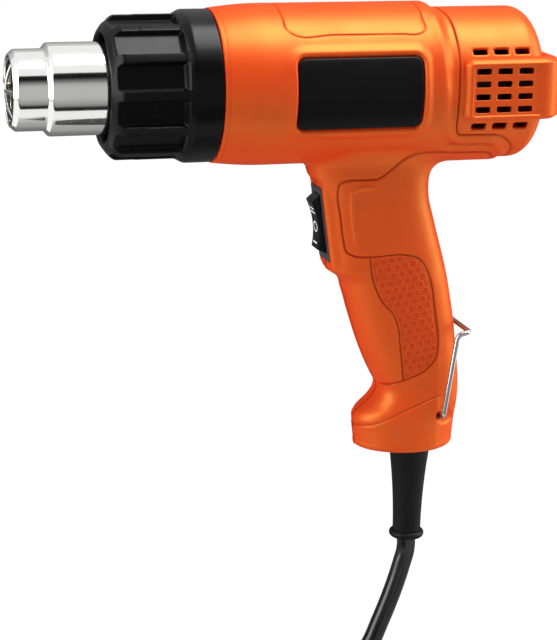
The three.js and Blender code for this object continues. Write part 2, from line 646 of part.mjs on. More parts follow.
// Outlet guard: a ring behind the lip and two crossed strips domed out of the outlet.
function nozzleGuard() {
  const ringFront = TIP_FRONT_X + TIP_LIP_DEPTH + CLEAR;
  const outer = tipBore - CLEAR;
  const inner = outer - GUARD_THICKNESS;
  const reach = (outer + inner) / 2;
  const foot = ringFront + GUARD_RING_WIDTH / 2;
  const crown = foot - 2 * GUARD_RISE;
  const strip = new THREE.Shape();
  strip.moveTo(foot, -reach);
  strip.quadraticCurveTo(crown, 0, foot, reach);
  strip.lineTo(foot + GUARD_THICKNESS, reach);
  strip.quadraticCurveTo(crown + GUARD_THICKNESS, 0, foot + GUARD_THICKNESS, -reach);
  const across = extruded(strip, GUARD_STRIP, 8).translate(0, 0, -GUARD_STRIP / 2);
  const upright = across.clone().rotateX(Math.PI / 2);
  return union([ringX(ringFront, ringFront + GUARD_RING_WIDTH, inner, outer),
    solid(across.translate(0, 0, AXIS_Z)), solid(upright.translate(0, 0, AXIS_Z))]);
}
add('nozzle_guard', nozzleGuard(), STEEL, 0.2, 1);

// Heater: mica sleeve in the tube, crossed mica former on its ears, and one wound resistance wire.
const sleeveOuter = tubeBore - CLEAR;
const sleeveInner = sleeveOuter - MICA_THICKNESS;
add('mica_sleeve', ringX(MICA_FRONT_X, MICA_REAR_X, sleeveInner, sleeveOuter, 24), MICA, 0.6);

function elementFormer() {
  const ear = sleeveInner - CLEAR - FORMER_THICKNESS / 4;
  const middle = COIL_RADIUS - COIL_WIRE_RADIUS - CLEAR;
  const thick = FORMER_THICKNESS / 2;
  const [front, rear] = [MICA_FRONT_X + CLEAR, MICA_REAR_X - CLEAR];
  const plates = [];
  const spans = [[front, rear, middle], [front, front + FORMER_EAR, ear], [rear - FORMER_EAR, rear, ear]];
  for (const [x0, x1, reach] of spans) {
    plates.push(box(x0, x1, -thick, thick, AXIS_Z - reach, AXIS_Z + reach));
    plates.push(box(x0, x1, -reach, reach, AXIS_Z - thick, AXIS_Z + thick));
  }
  return union(plates);
}
add('element_former', elementFormer(), MICA, 0.6);

function heatingCoilPath() {
  const inset = FORMER_EAR + 2 * COIL_WIRE_RADIUS + 2 * CLEAR;
  const [front, rear] = [MICA_FRONT_X + CLEAR + inset, MICA_REAR_X - CLEAR - inset];
  const steps = COIL_TURNS * 8;
  const path = [];
  for (let i = 0; i <= steps; i += 1) {
    const turn = (i / 8) * Math.PI * 2;
    const x = front + ((rear - front) * i) / steps;
    path.push(new THREE.Vector3(x, COIL_RADIUS * Math.cos(turn), AXIS_Z + COIL_RADIUS * Math.sin(turn)));
  }
  return path;
}
const heaterPath = heatingCoilPath();
add('heating_coil', woundTube(heaterPath, COIL_WIRE_RADIUS, 5), 0x8c8a86, 0.4, 1);
console.log(`heating coil least gap to itself: ${leastGap(heaterPath, COIL_WIRE_RADIUS, 5).toFixed(2)} mm`);

// Air duct: spigot in the tube, cone, fan housing and spoked motor cup.
const ductRadius = Math.min(REAR_RADIUS - REAR_DROP, BODY_RADIUS) - WALL - CLEAR;
const ductBore = ductRadius - DUCT_WALL;
const ductSpigotRadius = tubeBore - CLEAR;
const cupFront = DUCT_END_X - SPOKE_DEPTH;
const cupRadius = MOTOR_RADIUS + CLEAR;
function fanDuct() {
  const spigotBore = ductSpigotRadius - DUCT_WALL;
  const wall = turnedX([[TUBE_END_X - DUCT_SPIGOT, spigotBore], [TUBE_END_X - DUCT_SPIGOT, ductSpigotRadius],
    [TUBE_END_X + CLEAR, ductSpigotRadius], [TUBE_END_X + CLEAR, TUBE_RADIUS], [DUCT_CONE_END_X, ductRadius],
    [DUCT_END_X, ductRadius], [DUCT_END_X, ductBore], [DUCT_CONE_END_X, ductBore],
    [TUBE_END_X + CLEAR, spigotBore], [TUBE_END_X - DUCT_SPIGOT, spigotBore]], DUCT_SIDES);
  const seat = ringX(DUCT_CONE_END_X, DUCT_CONE_END_X + DUCT_SEAT_WIDTH, ductRadius - DUCT_WALL / 2,
    BODY_RADIUS - WALL - CLEAR, DUCT_SIDES);
  const cup = turnedX([[cupFront, 2 * SHAFT_RADIUS], [cupFront, cupRadius + DUCT_WALL],
    [cupFront + MOTOR_CUP, cupRadius + DUCT_WALL], [cupFront + MOTOR_CUP, cupRadius],
    [cupFront + DUCT_WALL, cupRadius], [cupFront + DUCT_WALL, 2 * SHAFT_RADIUS],
    [cupFront, 2 * SHAFT_RADIUS]], 24);
  const spokes = [];
  for (let i = 0; i < SPOKES; i += 1) {
    const reach = ductRadius - DUCT_WALL / 2 - cupRadius - DUCT_WALL / 2;
    const spoke = new THREE.BoxGeometry(SPOKE_DEPTH, SPOKE_WIDTH, reach);
    spoke.translate(cupFront + SPOKE_DEPTH / 2, 0, cupRadius + DUCT_WALL / 2 + reach / 2);
    spokes.push(solid(spoke.rotateX(((i + 0.5) / SPOKES) * Math.PI * 2).translate(0, 0, AXIS_Z)));
  }
  return union([wall, seat, cup, ...spokes]);
}
add('fan_duct', fanDuct(), 0x3a3a3c, 0.6);

// Fan: hub on the shaft with curved blades twisted along the axis.
function fan() {
  const tip = ductBore - FAN_TIP_CLEAR;
  const end = FAN_FRONT_X + FAN_DEPTH;
  const bore = SHAFT_RADIUS + CLEAR;
  const blades = [];
  for (let i = 0; i < FAN_BLADES; i += 1) {
    const span = tip - bore - BLADE_THICKNESS;
    const blade = new THREE.BoxGeometry(FAN_DEPTH - 2, BLADE_THICKNESS, span, 1, 1, 2);
    blade.translate(0, 0, (tip + bore + BLADE_THICKNESS) / 2);
    const place = blade.attributes.position;
    for (let k = 0; k < place.count; k += 1) {
      const [x, y, z] = [place.getX(k), place.getY(k), place.getZ(k)];
      const lean = BLADE_TWIST * ((x / FAN_DEPTH) * 1.4 + (z / tip) ** 2) + (i / FAN_BLADES) * Math.PI * 2;
      place.setXYZ(k, x, y * Math.cos(lean) - z * Math.sin(lean), y * Math.sin(lean) + z * Math.cos(lean));
    }
    blades.push(solid(blade.translate((FAN_FRONT_X + end) / 2, 0, AXIS_Z)));
  }
  const round = FAN_HUB_RADIUS / 2;
  const dome = arcPoints(FAN_FRONT_X + round, round, round, Math.PI, Math.PI / 2, 4);
  const hub = turnedX([[FAN_FRONT_X, bore], ...dome, [end, FAN_HUB_RADIUS], [end, bore],
    [FAN_FRONT_X, bore]], 24);
  const hole = turnedX([[FAN_FRONT_X - 1, 0], [FAN_FRONT_X - 1, bore], [end + 1, bore], [end + 1, 0]], 24);
  return hub.add(union(blades).subtract(hole));
}
add('fan', fan(), 0x2b2b2e, 0.5);

const motorFront = cupFront + DUCT_WALL + CLEAR;
const motorEnd = motorFront + MOTOR_LENGTH;
const shaftEnd = motorFront + SHAFT_HOLD;
add('motor_shaft', turnedX([[FAN_FRONT_X, 0], [FAN_FRONT_X, SHAFT_RADIUS], [shaftEnd - CLEAR, SHAFT_RADIUS],
  [shaftEnd - CLEAR, 0]], 12), STEEL, 0.3, 1);
const motorBore = SHAFT_RADIUS + CLEAR;
add('motor_can', turnedX([[shaftEnd, 0], [shaftEnd, motorBore], [motorFront, motorBore],
  [motorFront, MOTOR_RADIUS - 1], [motorFront + 1, MOTOR_RADIUS], [motorEnd, MOTOR_RADIUS],
  [motorEnd, 0]], 24), STEEL, 0.4, 1);
const capFront = motorEnd + CLEAR;
const capEnd = capFront + END_CAP_LENGTH;
const capRadius = MOTOR_RADIUS - CLEAR;
add('motor_end_cap', turnedX([[capFront, 0], [capFront, capRadius], [capEnd - 1, capRadius],
  [capEnd, capRadius - 1], [capEnd, MOTOR_RADIUS / 3], [capEnd + END_CAP_BOSS, MOTOR_RADIUS / 3],
  [capEnd + END_CAP_BOSS, 0]], 24), 0x202022, 0.6);
const boardFront = capEnd + END_CAP_BOSS + CLEAR;
const boardEnd = boardFront + BOARD_THICKNESS;
add('rectifier_board', turnedX([[boardFront, 0], [boardFront, MOTOR_RADIUS - 2],
  [boardEnd, MOTOR_RADIUS - 2], [boardEnd, 0]], 16), 0x2f6b3a, 0.6);

// Switch: bezel and body with a well for the rocker, drawn in the switch frame.
function switchBody() {
  const [long, wide] = [BEZEL_LENGTH / 2, BEZEL_WIDTH / 2];
  const outline = roundedRectangle(-long, long, -wide, wide, BEZEL_CORNER);
  const bezel = solid(extruded(outline, BEZEL_THICKNESS).rotateY(Math.PI / 2));
  const body = solid(switchBox(BEZEL_THICKNESS / 2, SWITCH_DEPTH, SWITCH_WIDTH / 2, SWITCH_LENGTH));
  const wellEnd = ROCKER_PIVOT + ROCKER_TAIL + 2 * CLEAR;
  const well = switchBox(-1, wellEnd, ROCKER_WIDTH / 2 + CLEAR, 2 * (ROCKER_SWEEP + CLEAR));
  return bezel.add(body).subtract(solid(well));
}
add('switch_body', switchBody(), 0x2a2a2c, 0.5, 0, switchFrame);

// Rocker: dished outer face between two proud ends, which are struck from the pivot to clear the well.
function rocker() {
  const proudAngle = Math.acos((ROCKER_PIVOT + ROCKER_PROUD) / ROCKER_SWEEP);
  const end = ROCKER_SWEEP * Math.sin(proudAngle);
  const side = new THREE.Shape();
  side.moveTo(-ROCKER_PROUD, -end);
  side.quadraticCurveTo(2 * ROCKER_DISH - ROCKER_PROUD, 0, -ROCKER_PROUD, end);
  side.absarc(ROCKER_PIVOT, 0, ROCKER_SWEEP, Math.PI - proudAngle, Math.PI / 2, true);
  side.lineTo(ROCKER_PIVOT + ROCKER_TAIL, ROCKER_TAIL);
  side.lineTo(ROCKER_PIVOT + ROCKER_TAIL, -ROCKER_TAIL);
  side.absarc(ROCKER_PIVOT, 0, ROCKER_SWEEP, -Math.PI / 2, proudAngle - Math.PI, true);
  const geometry = extruded(side, ROCKER_WIDTH, 8).translate(0, 0, -ROCKER_WIDTH / 2);
  return geometry.rotateX(Math.PI / 2);
}
add('rocker', rocker(), 0x141416, 0.35, 0, switchFrame);

for (let i = 0; i < 3; i += 1) {
  const blade = new THREE.BoxGeometry(TERMINAL_LENGTH, TERMINAL_WIDTH, TERMINAL_THICKNESS);
  blade.translate(SWITCH_DEPTH + CLEAR + TERMINAL_LENGTH / 2, 0, (1 - i) * TERMINAL_PITCH);
  add(`switch_terminal_${i + 1}`, blade, BRASS, 0.4, 1, switchFrame);
}

// Inner leads between the cord, the switch, the heater and the motor.
const terminalMiddle = SWITCH_DEPTH + CLEAR + TERMINAL_LENGTH / 2;
const inSwitch = (x, z) => new THREE.Vector3(x, 0, z).applyMatrix4(switchFrame.matrix).toArray();
const wireGap = TERMINAL_THICKNESS / 2 + CLEAR;
const wireFoot = TERMINAL_PITCH + wireGap;
const coneRise = (ductRadius - TUBE_RADIUS) / (DUCT_CONE_END_X - TUBE_END_X);
const ductFootZ = AXIS_Z - TUBE_RADIUS - coneRise * (HEATER_LEAD_X - TUBE_END_X);
const terminalEnd = SWITCH_DEPTH + TERMINAL_LENGTH;
const wires = {
  mains_wire: [[CORD_X, 0, INNER_CORD_TOP_Z + CLEAR], [CORD_X - 2, 0, INNER_CORD_TOP_Z + 10], [2, 0, -5],
    [-6, 0, 8], inSwitch(terminalMiddle - 1, -wireFoot - 10), inSwitch(terminalMiddle, -wireFoot)],
  heater_wire: [inSwitch(terminalMiddle, wireFoot), inSwitch(terminalMiddle, TERMINAL_PITCH + 6),
    [HEATER_LEAD_X, 0, ductFootZ - 8], [HEATER_LEAD_X, 0, ductFootZ - WIRE_RADIUS]],
  motor_wire: [inSwitch(terminalEnd + 2 * CLEAR, 0), inSwitch(terminalEnd + 5, 0), [2.5, 0, barrelFoot - 12],
    [8.5, 0, barrelFoot - 3], [14.5, 0, barrelFoot + 1.5], [20.5, 0, barrelFoot + 7],
    [motorFront + 13, 0, AXIS_Z - MOTOR_RADIUS - 6], [motorFront + 14, 0, AXIS_Z - MOTOR_RADIUS - CLEAR]],
};
for (const [name, points] of Object.entries(wires)) {
  add(name, tube(smoothLine(points), WIRE_RADIUS, 6, 16), 0x7a2f22, 0.5);
}

// Hanging bail: one bent wire, its pins in the base, its cross-piece hooked back behind the handle.
function hangBail() {
  const legY = BASE_HALF_WIDTH + BAIL_LEG_GAP + BAIL_WIRE_RADIUS;
  const corners = [
    [BAIL_PIVOT_X, legY - BAIL_PIN, pivotZ], [BAIL_PIVOT_X, legY, pivotZ],
    [BAIL_PIVOT_X + BAIL_LEAN, legY, pivotZ + BAIL_HEIGHT],
    [BAIL_PIVOT_X + BAIL_LEAN + BAIL_HOOK, legY, pivotZ + BAIL_HEIGHT + 1]];
  const knots = [...corners.map(([x, y, z]) => [x, -y, z]), ...corners.reverse()];
  const path = new THREE.CurvePath();
  const points = knots.map(([x, y, z]) => new THREE.Vector3(x, y, z));
  let from = points[0];
  for (let i = 1; i + 1 < points.length; i += 1) {
    const short = Math.min(points[i - 1].distanceTo(points[i]), points[i].distanceTo(points[i + 1]));
    const bend = Math.min(BAIL_BEND, short * 0.45);
    const before = points[i].clone().add(points[i - 1].clone().sub(points[i]).setLength(bend));
    const after = points[i].clone().add(points[i + 1].clone().sub(points[i]).setLength(bend));
    path.add(new THREE.LineCurve3(from, before));
    path.add(new THREE.QuadraticBezierCurve3(before, points[i], after));
    from = after;
  }
  path.add(new THREE.LineCurve3(from, points[points.length - 1]));
  return tube(path, BAIL_WIRE_RADIUS, 6, 60);
}
add('hang_bail', hangBail(), STEEL, 0.2, 1);

// Rubber cord guard: flange and neck held in the base, tapered sleeve, end bead.
const guardEndZ = BASE_Z - GUARD_LENGTH - GUARD_BEAD_WIDTH;
const guardMiddle = GUARD_END_RADIUS + (GUARD_TOP_RADIUS - GUARD_END_RADIUS) / 4;
const cordBore = CORD_RADIUS + CLEAR;
const neckTop = BASE_Z + WALL + CLEAR;
const beadTop = guardEndZ + GUARD_BEAD_WIDTH;
add('cord_guard', turnedZ([[guardEndZ, cordBore], [guardEndZ, GUARD_BEAD_RADIUS - 1],
  [guardEndZ + GUARD_BEAD_WIDTH / 2, GUARD_BEAD_RADIUS], [beadTop, GUARD_BEAD_RADIUS - 1],
  [beadTop, GUARD_END_RADIUS], [BASE_Z - GUARD_LENGTH / 2, guardMiddle], [BASE_Z - CLEAR, GUARD_TOP_RADIUS],
  [BASE_Z - CLEAR, GUARD_NECK_RADIUS], [neckTop, GUARD_NECK_RADIUS], [neckTop, GUARD_TOP_RADIUS],
  [neckTop + GUARD_FLANGE, GUARD_TOP_RADIUS], [neckTop + GUARD_FLANGE, cordBore],
  [guardEndZ, cordBore]], CORD_X, 16), 0x161618, 0.75);

add('cord_inner', turnedZ([[guardEndZ, 0], [guardEndZ, CORD_RADIUS], [INNER_CORD_TOP_Z, CORD_RADIUS],
  [INNER_CORD_TOP_Z, 0]], CORD_X, 12), BLACK, 0.4);

// Cord clamp: a bar across the cord on two posts of the left shell.
function cordClamp() {
  const [y0, y1] = [CORD_RADIUS + CLEAR, CORD_RADIUS + CLEAR + CLAMP_THICKNESS];
  const [long, high] = [CLAMP_LENGTH / 2, CLAMP_HEIGHT / 2];
  let bar = box(CORD_X - long, CORD_X + long, y0, y1, CLAMP_Z - high, CLAMP_Z + high);
  for (const [x, z] of clampScrews) bar = bar.subtract(barY(x, z, SCREW_RADIUS + CLEAR, 0, y1 + 1));
  return bar;
}
add('cord_clamp', cordClamp(), BLACK, 0.6);
clampScrews.forEach(([x, z], i) => {
  const seat = CORD_RADIUS + CLAMP_THICKNESS + 2 * CLEAR;
  add(`clamp_screw_${i + 1}`, screw(x, z, seat, SCREW_REACH_Y), STEEL, 0.35, 1);
});

// Mains lead: the hanging stretch, then a coil of two layers that spirals in, climbs and spirals out.
const lowLayerZ = FLOOR_Z + TIE_THICKNESS + CLEAR + CORD_RADIUS;
function loopRadius(turns) {
  const offset = turns - LOOP_TURNS / 2;
  return LOOP_INNER_RADIUS + LOOP_PITCH * (Math.hypot(offset, LOOP_REVERSAL) - LOOP_REVERSAL);
}
const loopOuterRadius = loopRadius(0);
const loopCentreY = -loopOuterRadius;
function loopPath() {
  const path = [];
  const steps = LOOP_TURNS * LOOP_STEPS;
  for (let i = 0; i <= steps; i += 1) {
    const turns = i / LOOP_STEPS;
    const rise = THREE.MathUtils.smoothstep(turns, LOOP_TURNS / 2 - 0.25, LOOP_TURNS / 2 + 0.25);
    const angle = Math.PI / 2 + turns * Math.PI * 2;
    const r = loopRadius(turns);
    path.push(new THREE.Vector3(LOOP_CENTRE_X + r * Math.cos(angle), loopCentreY + r * Math.sin(angle),
      lowLayerZ + rise * LOOP_PITCH));
  }
  const straight = new THREE.Vector3(2 * CORD_RADIUS, 0, 0);
  return [path[0].clone().add(straight), ...path, path[path.length - 1].clone().add(straight)];
}
const loops = loopPath();
const loopEndX = LOOP_CENTRE_X + 2 * CORD_RADIUS + CLEAR;
add('cord_coil', woundTube(loops, CORD_RADIUS, 6), BLACK, 0.4);
console.log(`cord coil least gap to itself: ${leastGap(loops, CORD_RADIUS, LOOP_STEPS / 2).toFixed(2)} mm`);

const dropRoute = [[CORD_X, 0, guardEndZ - CLEAR], [8.3, 0, -116.5], [7.9, 0, -120.7], [6.9, 0, -124.5],
  [4.7, 0, -132.3], [2.2, 0, -140], [-0.6, 0, -147.7], [-3.7, 0, -155.5], [-6.8, 0, -163.2], [-10.8, 0, -170],
  [-17, 0, -175.8], [-25.5, 0, -178.9], [-34, 0, lowLayerZ], [-44, 0, lowLayerZ], [-53, 0, lowLayerZ],
  [loopEndX, 0, lowLayerZ]];
add('cord_drop', tube(smoothLine(dropRoute), CORD_RADIUS, 10, 22), BLACK, 0.4);

const plugZ = FLOOR_Z + CLEAR + PLUG_HEIGHT / 2;
const plugBackX = LOOP_CENTRE_X + 78;
const tailY = loopCentreY - loopOuterRadius;
const highLayerZ = lowLayerZ + LOOP_PITCH;
const tailRoute = [[loopEndX, tailY, highLayerZ], [LOOP_CENTRE_X + 16, tailY, highLayerZ],
  [LOOP_CENTRE_X + 26, tailY, highLayerZ - 0.6], [LOOP_CENTRE_X + 42, tailY, plugZ + 1.4],
  [LOOP_CENTRE_X + 60, tailY, plugZ], [plugBackX - CLEAR, tailY, plugZ]];
add('cord_tail', tube(smoothLine(tailRoute), CORD_RADIUS, 10, 8), BLACK, 0.4);

// Tie round both layers of the coil, on the side away from the drop and the tail.
function cordTie() {
  const slack = 2 * CLEAR;
  const [r0, r1] = [LOOP_INNER_RADIUS - CORD_RADIUS - 2 * slack, loopOuterRadius + CORD_RADIUS + slack];
  const [z0, z1] = [lowLayerZ - CORD_RADIUS - CLEAR, highLayerZ + CORD_RADIUS + CLEAR];
  const t = TIE_THICKNESS;
  const outline = roundedRectangle(r0 - t, r1 + t, z0 - t, z1 + t, CORD_RADIUS);
  outline.holes.push(roundedRectangle(r0, r1, z0, z1, CORD_RADIUS - t));
  const band = extruded(outline, TIE_WIDTH, 3).translate(0, 0, -TIE_WIDTH / 2).rotateX(Math.PI / 2);
  return band.rotateZ(Math.PI).translate(LOOP_CENTRE_X, loopCentreY, 0);
}
add('cord_tie', cordTie(), 0x111113, 0.6);

// Two-pin plug lying on the surface, its pins towards +X.
function plugBody() {
  const plan = new THREE.Shape();
  const [back, face] = [plugBackX, plugBackX + PLUG_LENGTH];
  const neck = CORD_RADIUS * 1.7;
  plan.moveTo(back, -neck);
  plan.quadraticCurveTo(back + PLUG_LENGTH * 0.4, -neck, back + PLUG_LENGTH * 0.62, -PLUG_WIDTH / 2);
  plan.lineTo(face, -PLUG_WIDTH / 2);
  plan.lineTo(face, PLUG_WIDTH / 2);
  plan.lineTo(back + PLUG_LENGTH * 0.62, PLUG_WIDTH / 2);
  plan.quadraticCurveTo(back + PLUG_LENGTH * 0.4, neck, back, neck);
  let body = solid(extruded(plan, PLUG_HEIGHT, 6).translate(0, tailY, plugZ - PLUG_HEIGHT / 2));
  for (const side of [-1, 1]) {
    const pin = new THREE.CylinderGeometry(PIN_RADIUS + CLEAR, PIN_RADIUS + CLEAR, PIN_LENGTH, 10);
    pin.rotateZ(Math.PI / 2).translate(face, tailY + (side * PIN_PITCH) / 2, plugZ);
    body = body.subtract(solid(pin));
  }
  return body;
}
add('plug_body', plugBody(), BLACK, 0.5);
[-1, 1].forEach((side, i) => {
  const back = plugBackX + PLUG_LENGTH - PIN_LENGTH / 2 + CLEAR;
  const pin = new THREE.CylinderGeometry(PIN_RADIUS, PIN_RADIUS, PIN_LENGTH * 1.5, 10).rotateZ(Math.PI / 2);
  pin.translate(back + PIN_LENGTH * 0.75, tailY + (side * PIN_PITCH) / 2, plugZ);
  add(`plug_pin_${i + 1}`, pin, BRASS, 0.3, 1);
});

export default tool;
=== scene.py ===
"""Looks of the hot air tool: every visible piece is a surface worked out with numpy over the
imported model."""

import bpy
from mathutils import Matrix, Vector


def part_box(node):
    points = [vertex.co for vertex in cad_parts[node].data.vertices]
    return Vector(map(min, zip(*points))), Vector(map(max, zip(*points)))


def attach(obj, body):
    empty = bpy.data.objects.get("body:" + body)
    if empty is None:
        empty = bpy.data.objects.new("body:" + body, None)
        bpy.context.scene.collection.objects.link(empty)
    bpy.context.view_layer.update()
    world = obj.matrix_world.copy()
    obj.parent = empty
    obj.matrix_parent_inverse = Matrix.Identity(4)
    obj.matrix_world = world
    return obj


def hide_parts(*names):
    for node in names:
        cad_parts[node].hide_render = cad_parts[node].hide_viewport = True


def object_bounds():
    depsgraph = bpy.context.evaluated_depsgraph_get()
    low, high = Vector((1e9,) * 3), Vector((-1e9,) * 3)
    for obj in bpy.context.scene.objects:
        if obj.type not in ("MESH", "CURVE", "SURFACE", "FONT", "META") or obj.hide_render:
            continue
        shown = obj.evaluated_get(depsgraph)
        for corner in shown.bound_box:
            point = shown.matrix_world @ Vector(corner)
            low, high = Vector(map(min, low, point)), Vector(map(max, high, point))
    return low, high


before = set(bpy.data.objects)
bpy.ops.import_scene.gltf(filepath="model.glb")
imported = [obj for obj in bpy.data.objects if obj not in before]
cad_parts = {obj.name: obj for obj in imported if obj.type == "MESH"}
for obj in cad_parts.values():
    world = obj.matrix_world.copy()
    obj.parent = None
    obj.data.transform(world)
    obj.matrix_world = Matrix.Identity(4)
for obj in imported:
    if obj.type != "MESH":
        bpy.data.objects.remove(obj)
CAD_BOX = [list(corner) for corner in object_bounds()]

import math

import bmesh
import bpy
import numpy as np
from mathutils import Matrix, Vector

bl_info = {
    "name": "Hot air tool",
    "version": (1, 0, 0),
    "blender": (4, 5, 0),
    "location": "3D View > Sidebar > Hot air tool",
    "description": "Dresses the packed hot air tool with its moulded skins, metal, rubber and lead",
    "category": "Object",
}

# Millimetres from here on. X runs from the nozzle to the motor, Y across the tool, Z up.
MM = 0.001
SEAM = 0.12  # half of the gap between the two halves of the moulding

# Barrel about an axis along X: it swells at the front and is drawn in behind a rounded step
AXIS_Z = 98.3
BODY_FRONT_X, BODY_FULL_X = -87.5, -66.0
BODY_FRONT_R, BODY_R = 32.6, 34.2
REAR_R, REAR_DROP, REAR_END_X, REAR_EDGE = 32.9, 1.34, 54.5, 8.5
TONGUE_R, TONGUE_END_X = 35.3, 39.5
STEP_X, STEP_DROP, STEP_CORNER, STEP_WIDTH, STEP_SOFTENS = 7.4, 30.6, 9.0, 1.8, 4.4
LIP_X, LIP_SUNK = (-84.5, -86.9, -87.5, -87.5, -87.4), (3.0, 2.8, 2.5, 0.45, 0.12)
GIRTH_PER_DEGREE = math.radians(1) * 33.5
BADGE_X, BADGE_HALF, BADGE_CORNER, BADGE_ROOM = -29.85, (26.95, 14.9), 3.2, 0.3
PLATE_R = BODY_R + 0.38

# Air slots of the barrel, by angle, and of the intake band, by height
SLOT_X, SLOT_Z = (23.9, 33.4, 42.9), (-8.1, -2.7, 2.7, 8.1)
SLOT_LONG, SLOT_HIGH = 6.9, 2.7
SLOT_ENDS = [x + e for x in SLOT_X for e in (-SLOT_LONG / 2, SLOT_LONG / 2)]
SLOT_EDGES = [z + e for z in SLOT_Z for e in (-SLOT_HIGH / 2, SLOT_HIGH / 2)]
SLOT_UPPER, SLOT_LOWER = (26.6, 31.9), (-31.4, -25.5)
BAND_FRONT_X, BAND_REAR_X, BAND_HALF_W, BAND_HALF_H, BAND_CORNER = 15.6, 60.8, 34.4, 13.4, 10.0
BAND_OPENING_X, BAND_OPENING_HALF = (19.5, 53.0), 11.0

# Grip: level sections at these heights, each a superellipse between a front and a rear
GRIP_POWER = 2.8
HANDLE_Z = [-66.3, -65.6, -63, -57.3, -54.3, -52.5, -50.5, -45.3, -41.5, -38.3, -34, -29, -20, -3.4,
            6, 12.9, 16.6, 20.3, 24.5, 37, 50, 57.6, 76]
HANDLE_FRONT = [-17.2, -17.8, -18.1, -18.9, -19.3, -19.3, -18.1, -12, -9.2, -8.6, -10.6, -13.1,
                -16.9, -22.6, -25.5, -28.4, -33.4, -33.9, -34.4, -36.2, -38.1, -41.6, -45]
HANDLE_REAR = [26.5, 27.1, 27.4, 27.9, 28.1, 28.3, 28.5, 28.6, 28.6, 28.5, 28.3, 27.9, 26.9, 24.3,
               22.5, 21.1, 20.2, 19.2, 18, 14.4, 11.2, 11.2, 12]
HANDLE_HALF = [17.2, 17.8, 18, 18, 18, 18, 17.9, 17.3, 16.8, 16.4, 16.4, 16.4, 16.6, 16.8, 17, 17,
               17, 17, 17, 17, 17.2, 17.4, 17.6]
HANDLE_POWER = [1.95, 1.95, 1.95, 1.95, 2, 2.05, 2.15, 2.45, 2.6, 2.75] + [GRIP_POWER] * 13
GRIP_TOP_Z, SADDLE_Z = 44.0, 63.0

# Switch: the middle of its face and its tilt. Rocker: pivot depth, sweep, rise of the ends, dish
SWITCH = (-36.7, 36.9, 0.144)
ROCKER = (5.5, 14.1, 3.8, 1.7)
ROCKER_HALF_W, ROCKER_ROUND = 4.8, 0.45
WELL_DEEP, SWITCH_BACK = 9.1, 23.0

# Base of the grip, lead and screws
BASE_Z, PIVOT = -66.3, (16.7, -50.1)
CORD_X, CORD_LOW, GUARD_END_Z = 8.2, -179.6, -112.6
COIL_X, COIL_INNER_R, COIL_PITCH, COIL_TURNS, COIL_EASE = -70, 30, 9.3, 6.5, 0.12
PLUG_Z, PLUG_BACK_X, PLUG_FACE_X, PIN_APART = -177.2, 8.0, 45.9, 9.3
SCREWS = [(-61.0, 124.5), (-61.0, 72.1), (33.75, 121.86), (33.75, 74.74), (3.0, 28.0),
          (17.0, -12.0)]
BARREL_SCREWS, SCREW_CLEAR, SCREW_HEAD_Y = 4, 3.5, 7.4

# Lines of the moulding, X and Z on the side plane of the grip, as seen by the camera
EYE, SIDE_PLANE = (-289.8, -834.5, 229.7), -17.0
KNOT_STEPS = 8
PANEL_LINE = [(35.6, 63.5), (35.3, 66.4), (34.4, 68), (32.6, 68.6), (30, 68.7), (17, 69), (4, 69.3),
              (0.8, 68.9), (-3.9, 67.1), (-10.5, 62.4), (-15.6, 59.1), (-22, 58.6), (-29.3, 58.5),
              (-33, 57.2), (-34.1, 52.7), (-32.7, 43.3), (-30.9, 31.9), (-29.4, 27.2), (-26, 25.2),
              (-18.9, 24.4), (-1.7, 24.4), (3.6, 22.8), (7.3, 18.1), (9, 13.8), (12.1, -2.2),
              (14, -16.6), (13.2, -23), (9.9, -27.3), (-1.6, -32.5), (-9, -33.9), (-15.8, -32.1)]
PAD_FIRST, PAD_LAST = 19, 28  # the points of that line between which it bounds the pad
PAD_LEFT = [(-18.9, 24.4), (-17, 13.8), (-12.3, 3.7), (-7, -2.5), (-5.2, -7), (-3.4, -18.2),
            (-1.6, -32.5)]
BASE_LINE = [(-27.5, -49.6), (-22, -51.6), (-16.1, -52.3), (-9, -50.6), (-1.8, -47.4),
             (15.8, -40.7)]
RIB_LINE = [(-17, 55), (-24, 54.9), (-27, 53.4), (-27.6, 49), (-27.3, 44), (-24.6, 29.3)]
RIB_INNER = [(-8.0, 29.0), (-8.0, 55.0)]
CHANNEL_LINE = [(14.9, -11), (15.4, -22), (16, -34), (16.3, -47)]
CELL_TURN, CELL_CENTRE, CELL_EDGE = 0.175, (-2.4, 20.0), (0.47, 0.34)
CELL_RIM, CELL_RIM_HALF = 0.39, 0.05
PAD_SINK, PANEL_SINK, RIB_RISE = 0.4, 0.3, 0.55
BASE_STEP, CHANNEL_SINK, RECESS_SINK = 0.34, 0.5, 0.9

# Lines of the barrel: X and the angle above the level of its axis
TOP_LINE = [(-59.9, 92), (-59.9, 62), (-59.4, 49), (-56.8, 45), (-40, 44.6), (-10, 44.2),
            (-2.6, 44), (0.2, 47), (1.1, 60), (1.1, 92)]
BAR_LINE = [(7.6, 62), (7.2, 37.9), (6.7, 22.7), (6.7, 8.6), (7.4, -5.6), (8.7, -21), (10.7, -30.7),
            (13.5, -37.9), (17.2, -41.5), (21.8, -41.9), (26.5, -42.3), (30.3, -43.2), (33.5, -46),
            (36.7, -52.8), (39.8, -63.2)]
BAR_UPRIGHT = 6  # the points of that line before it turns along the barrel
VALLEY_LINE = [(13.6, -46), (17, -47.4), (28, -47.8), (32, -48.6)]
REAR_LINE = [(12.6, 92), (12.9, 78), (14.2, 64), (14.4, 40), (14.2, 19), (13.5, 0), (13.7, -19),
             (14.2, -30), (15.3, -34.9), (18, -36), (21, -36.2), (30, -36.6), (33.8, -37.2),
             (38.3, -42), (42, -50), (43.5, -60), (43, -92)]
BAR_RISE, BAR_RISE_BELOW, BAR_WIDTH = 0.5, 0.35, 2.1
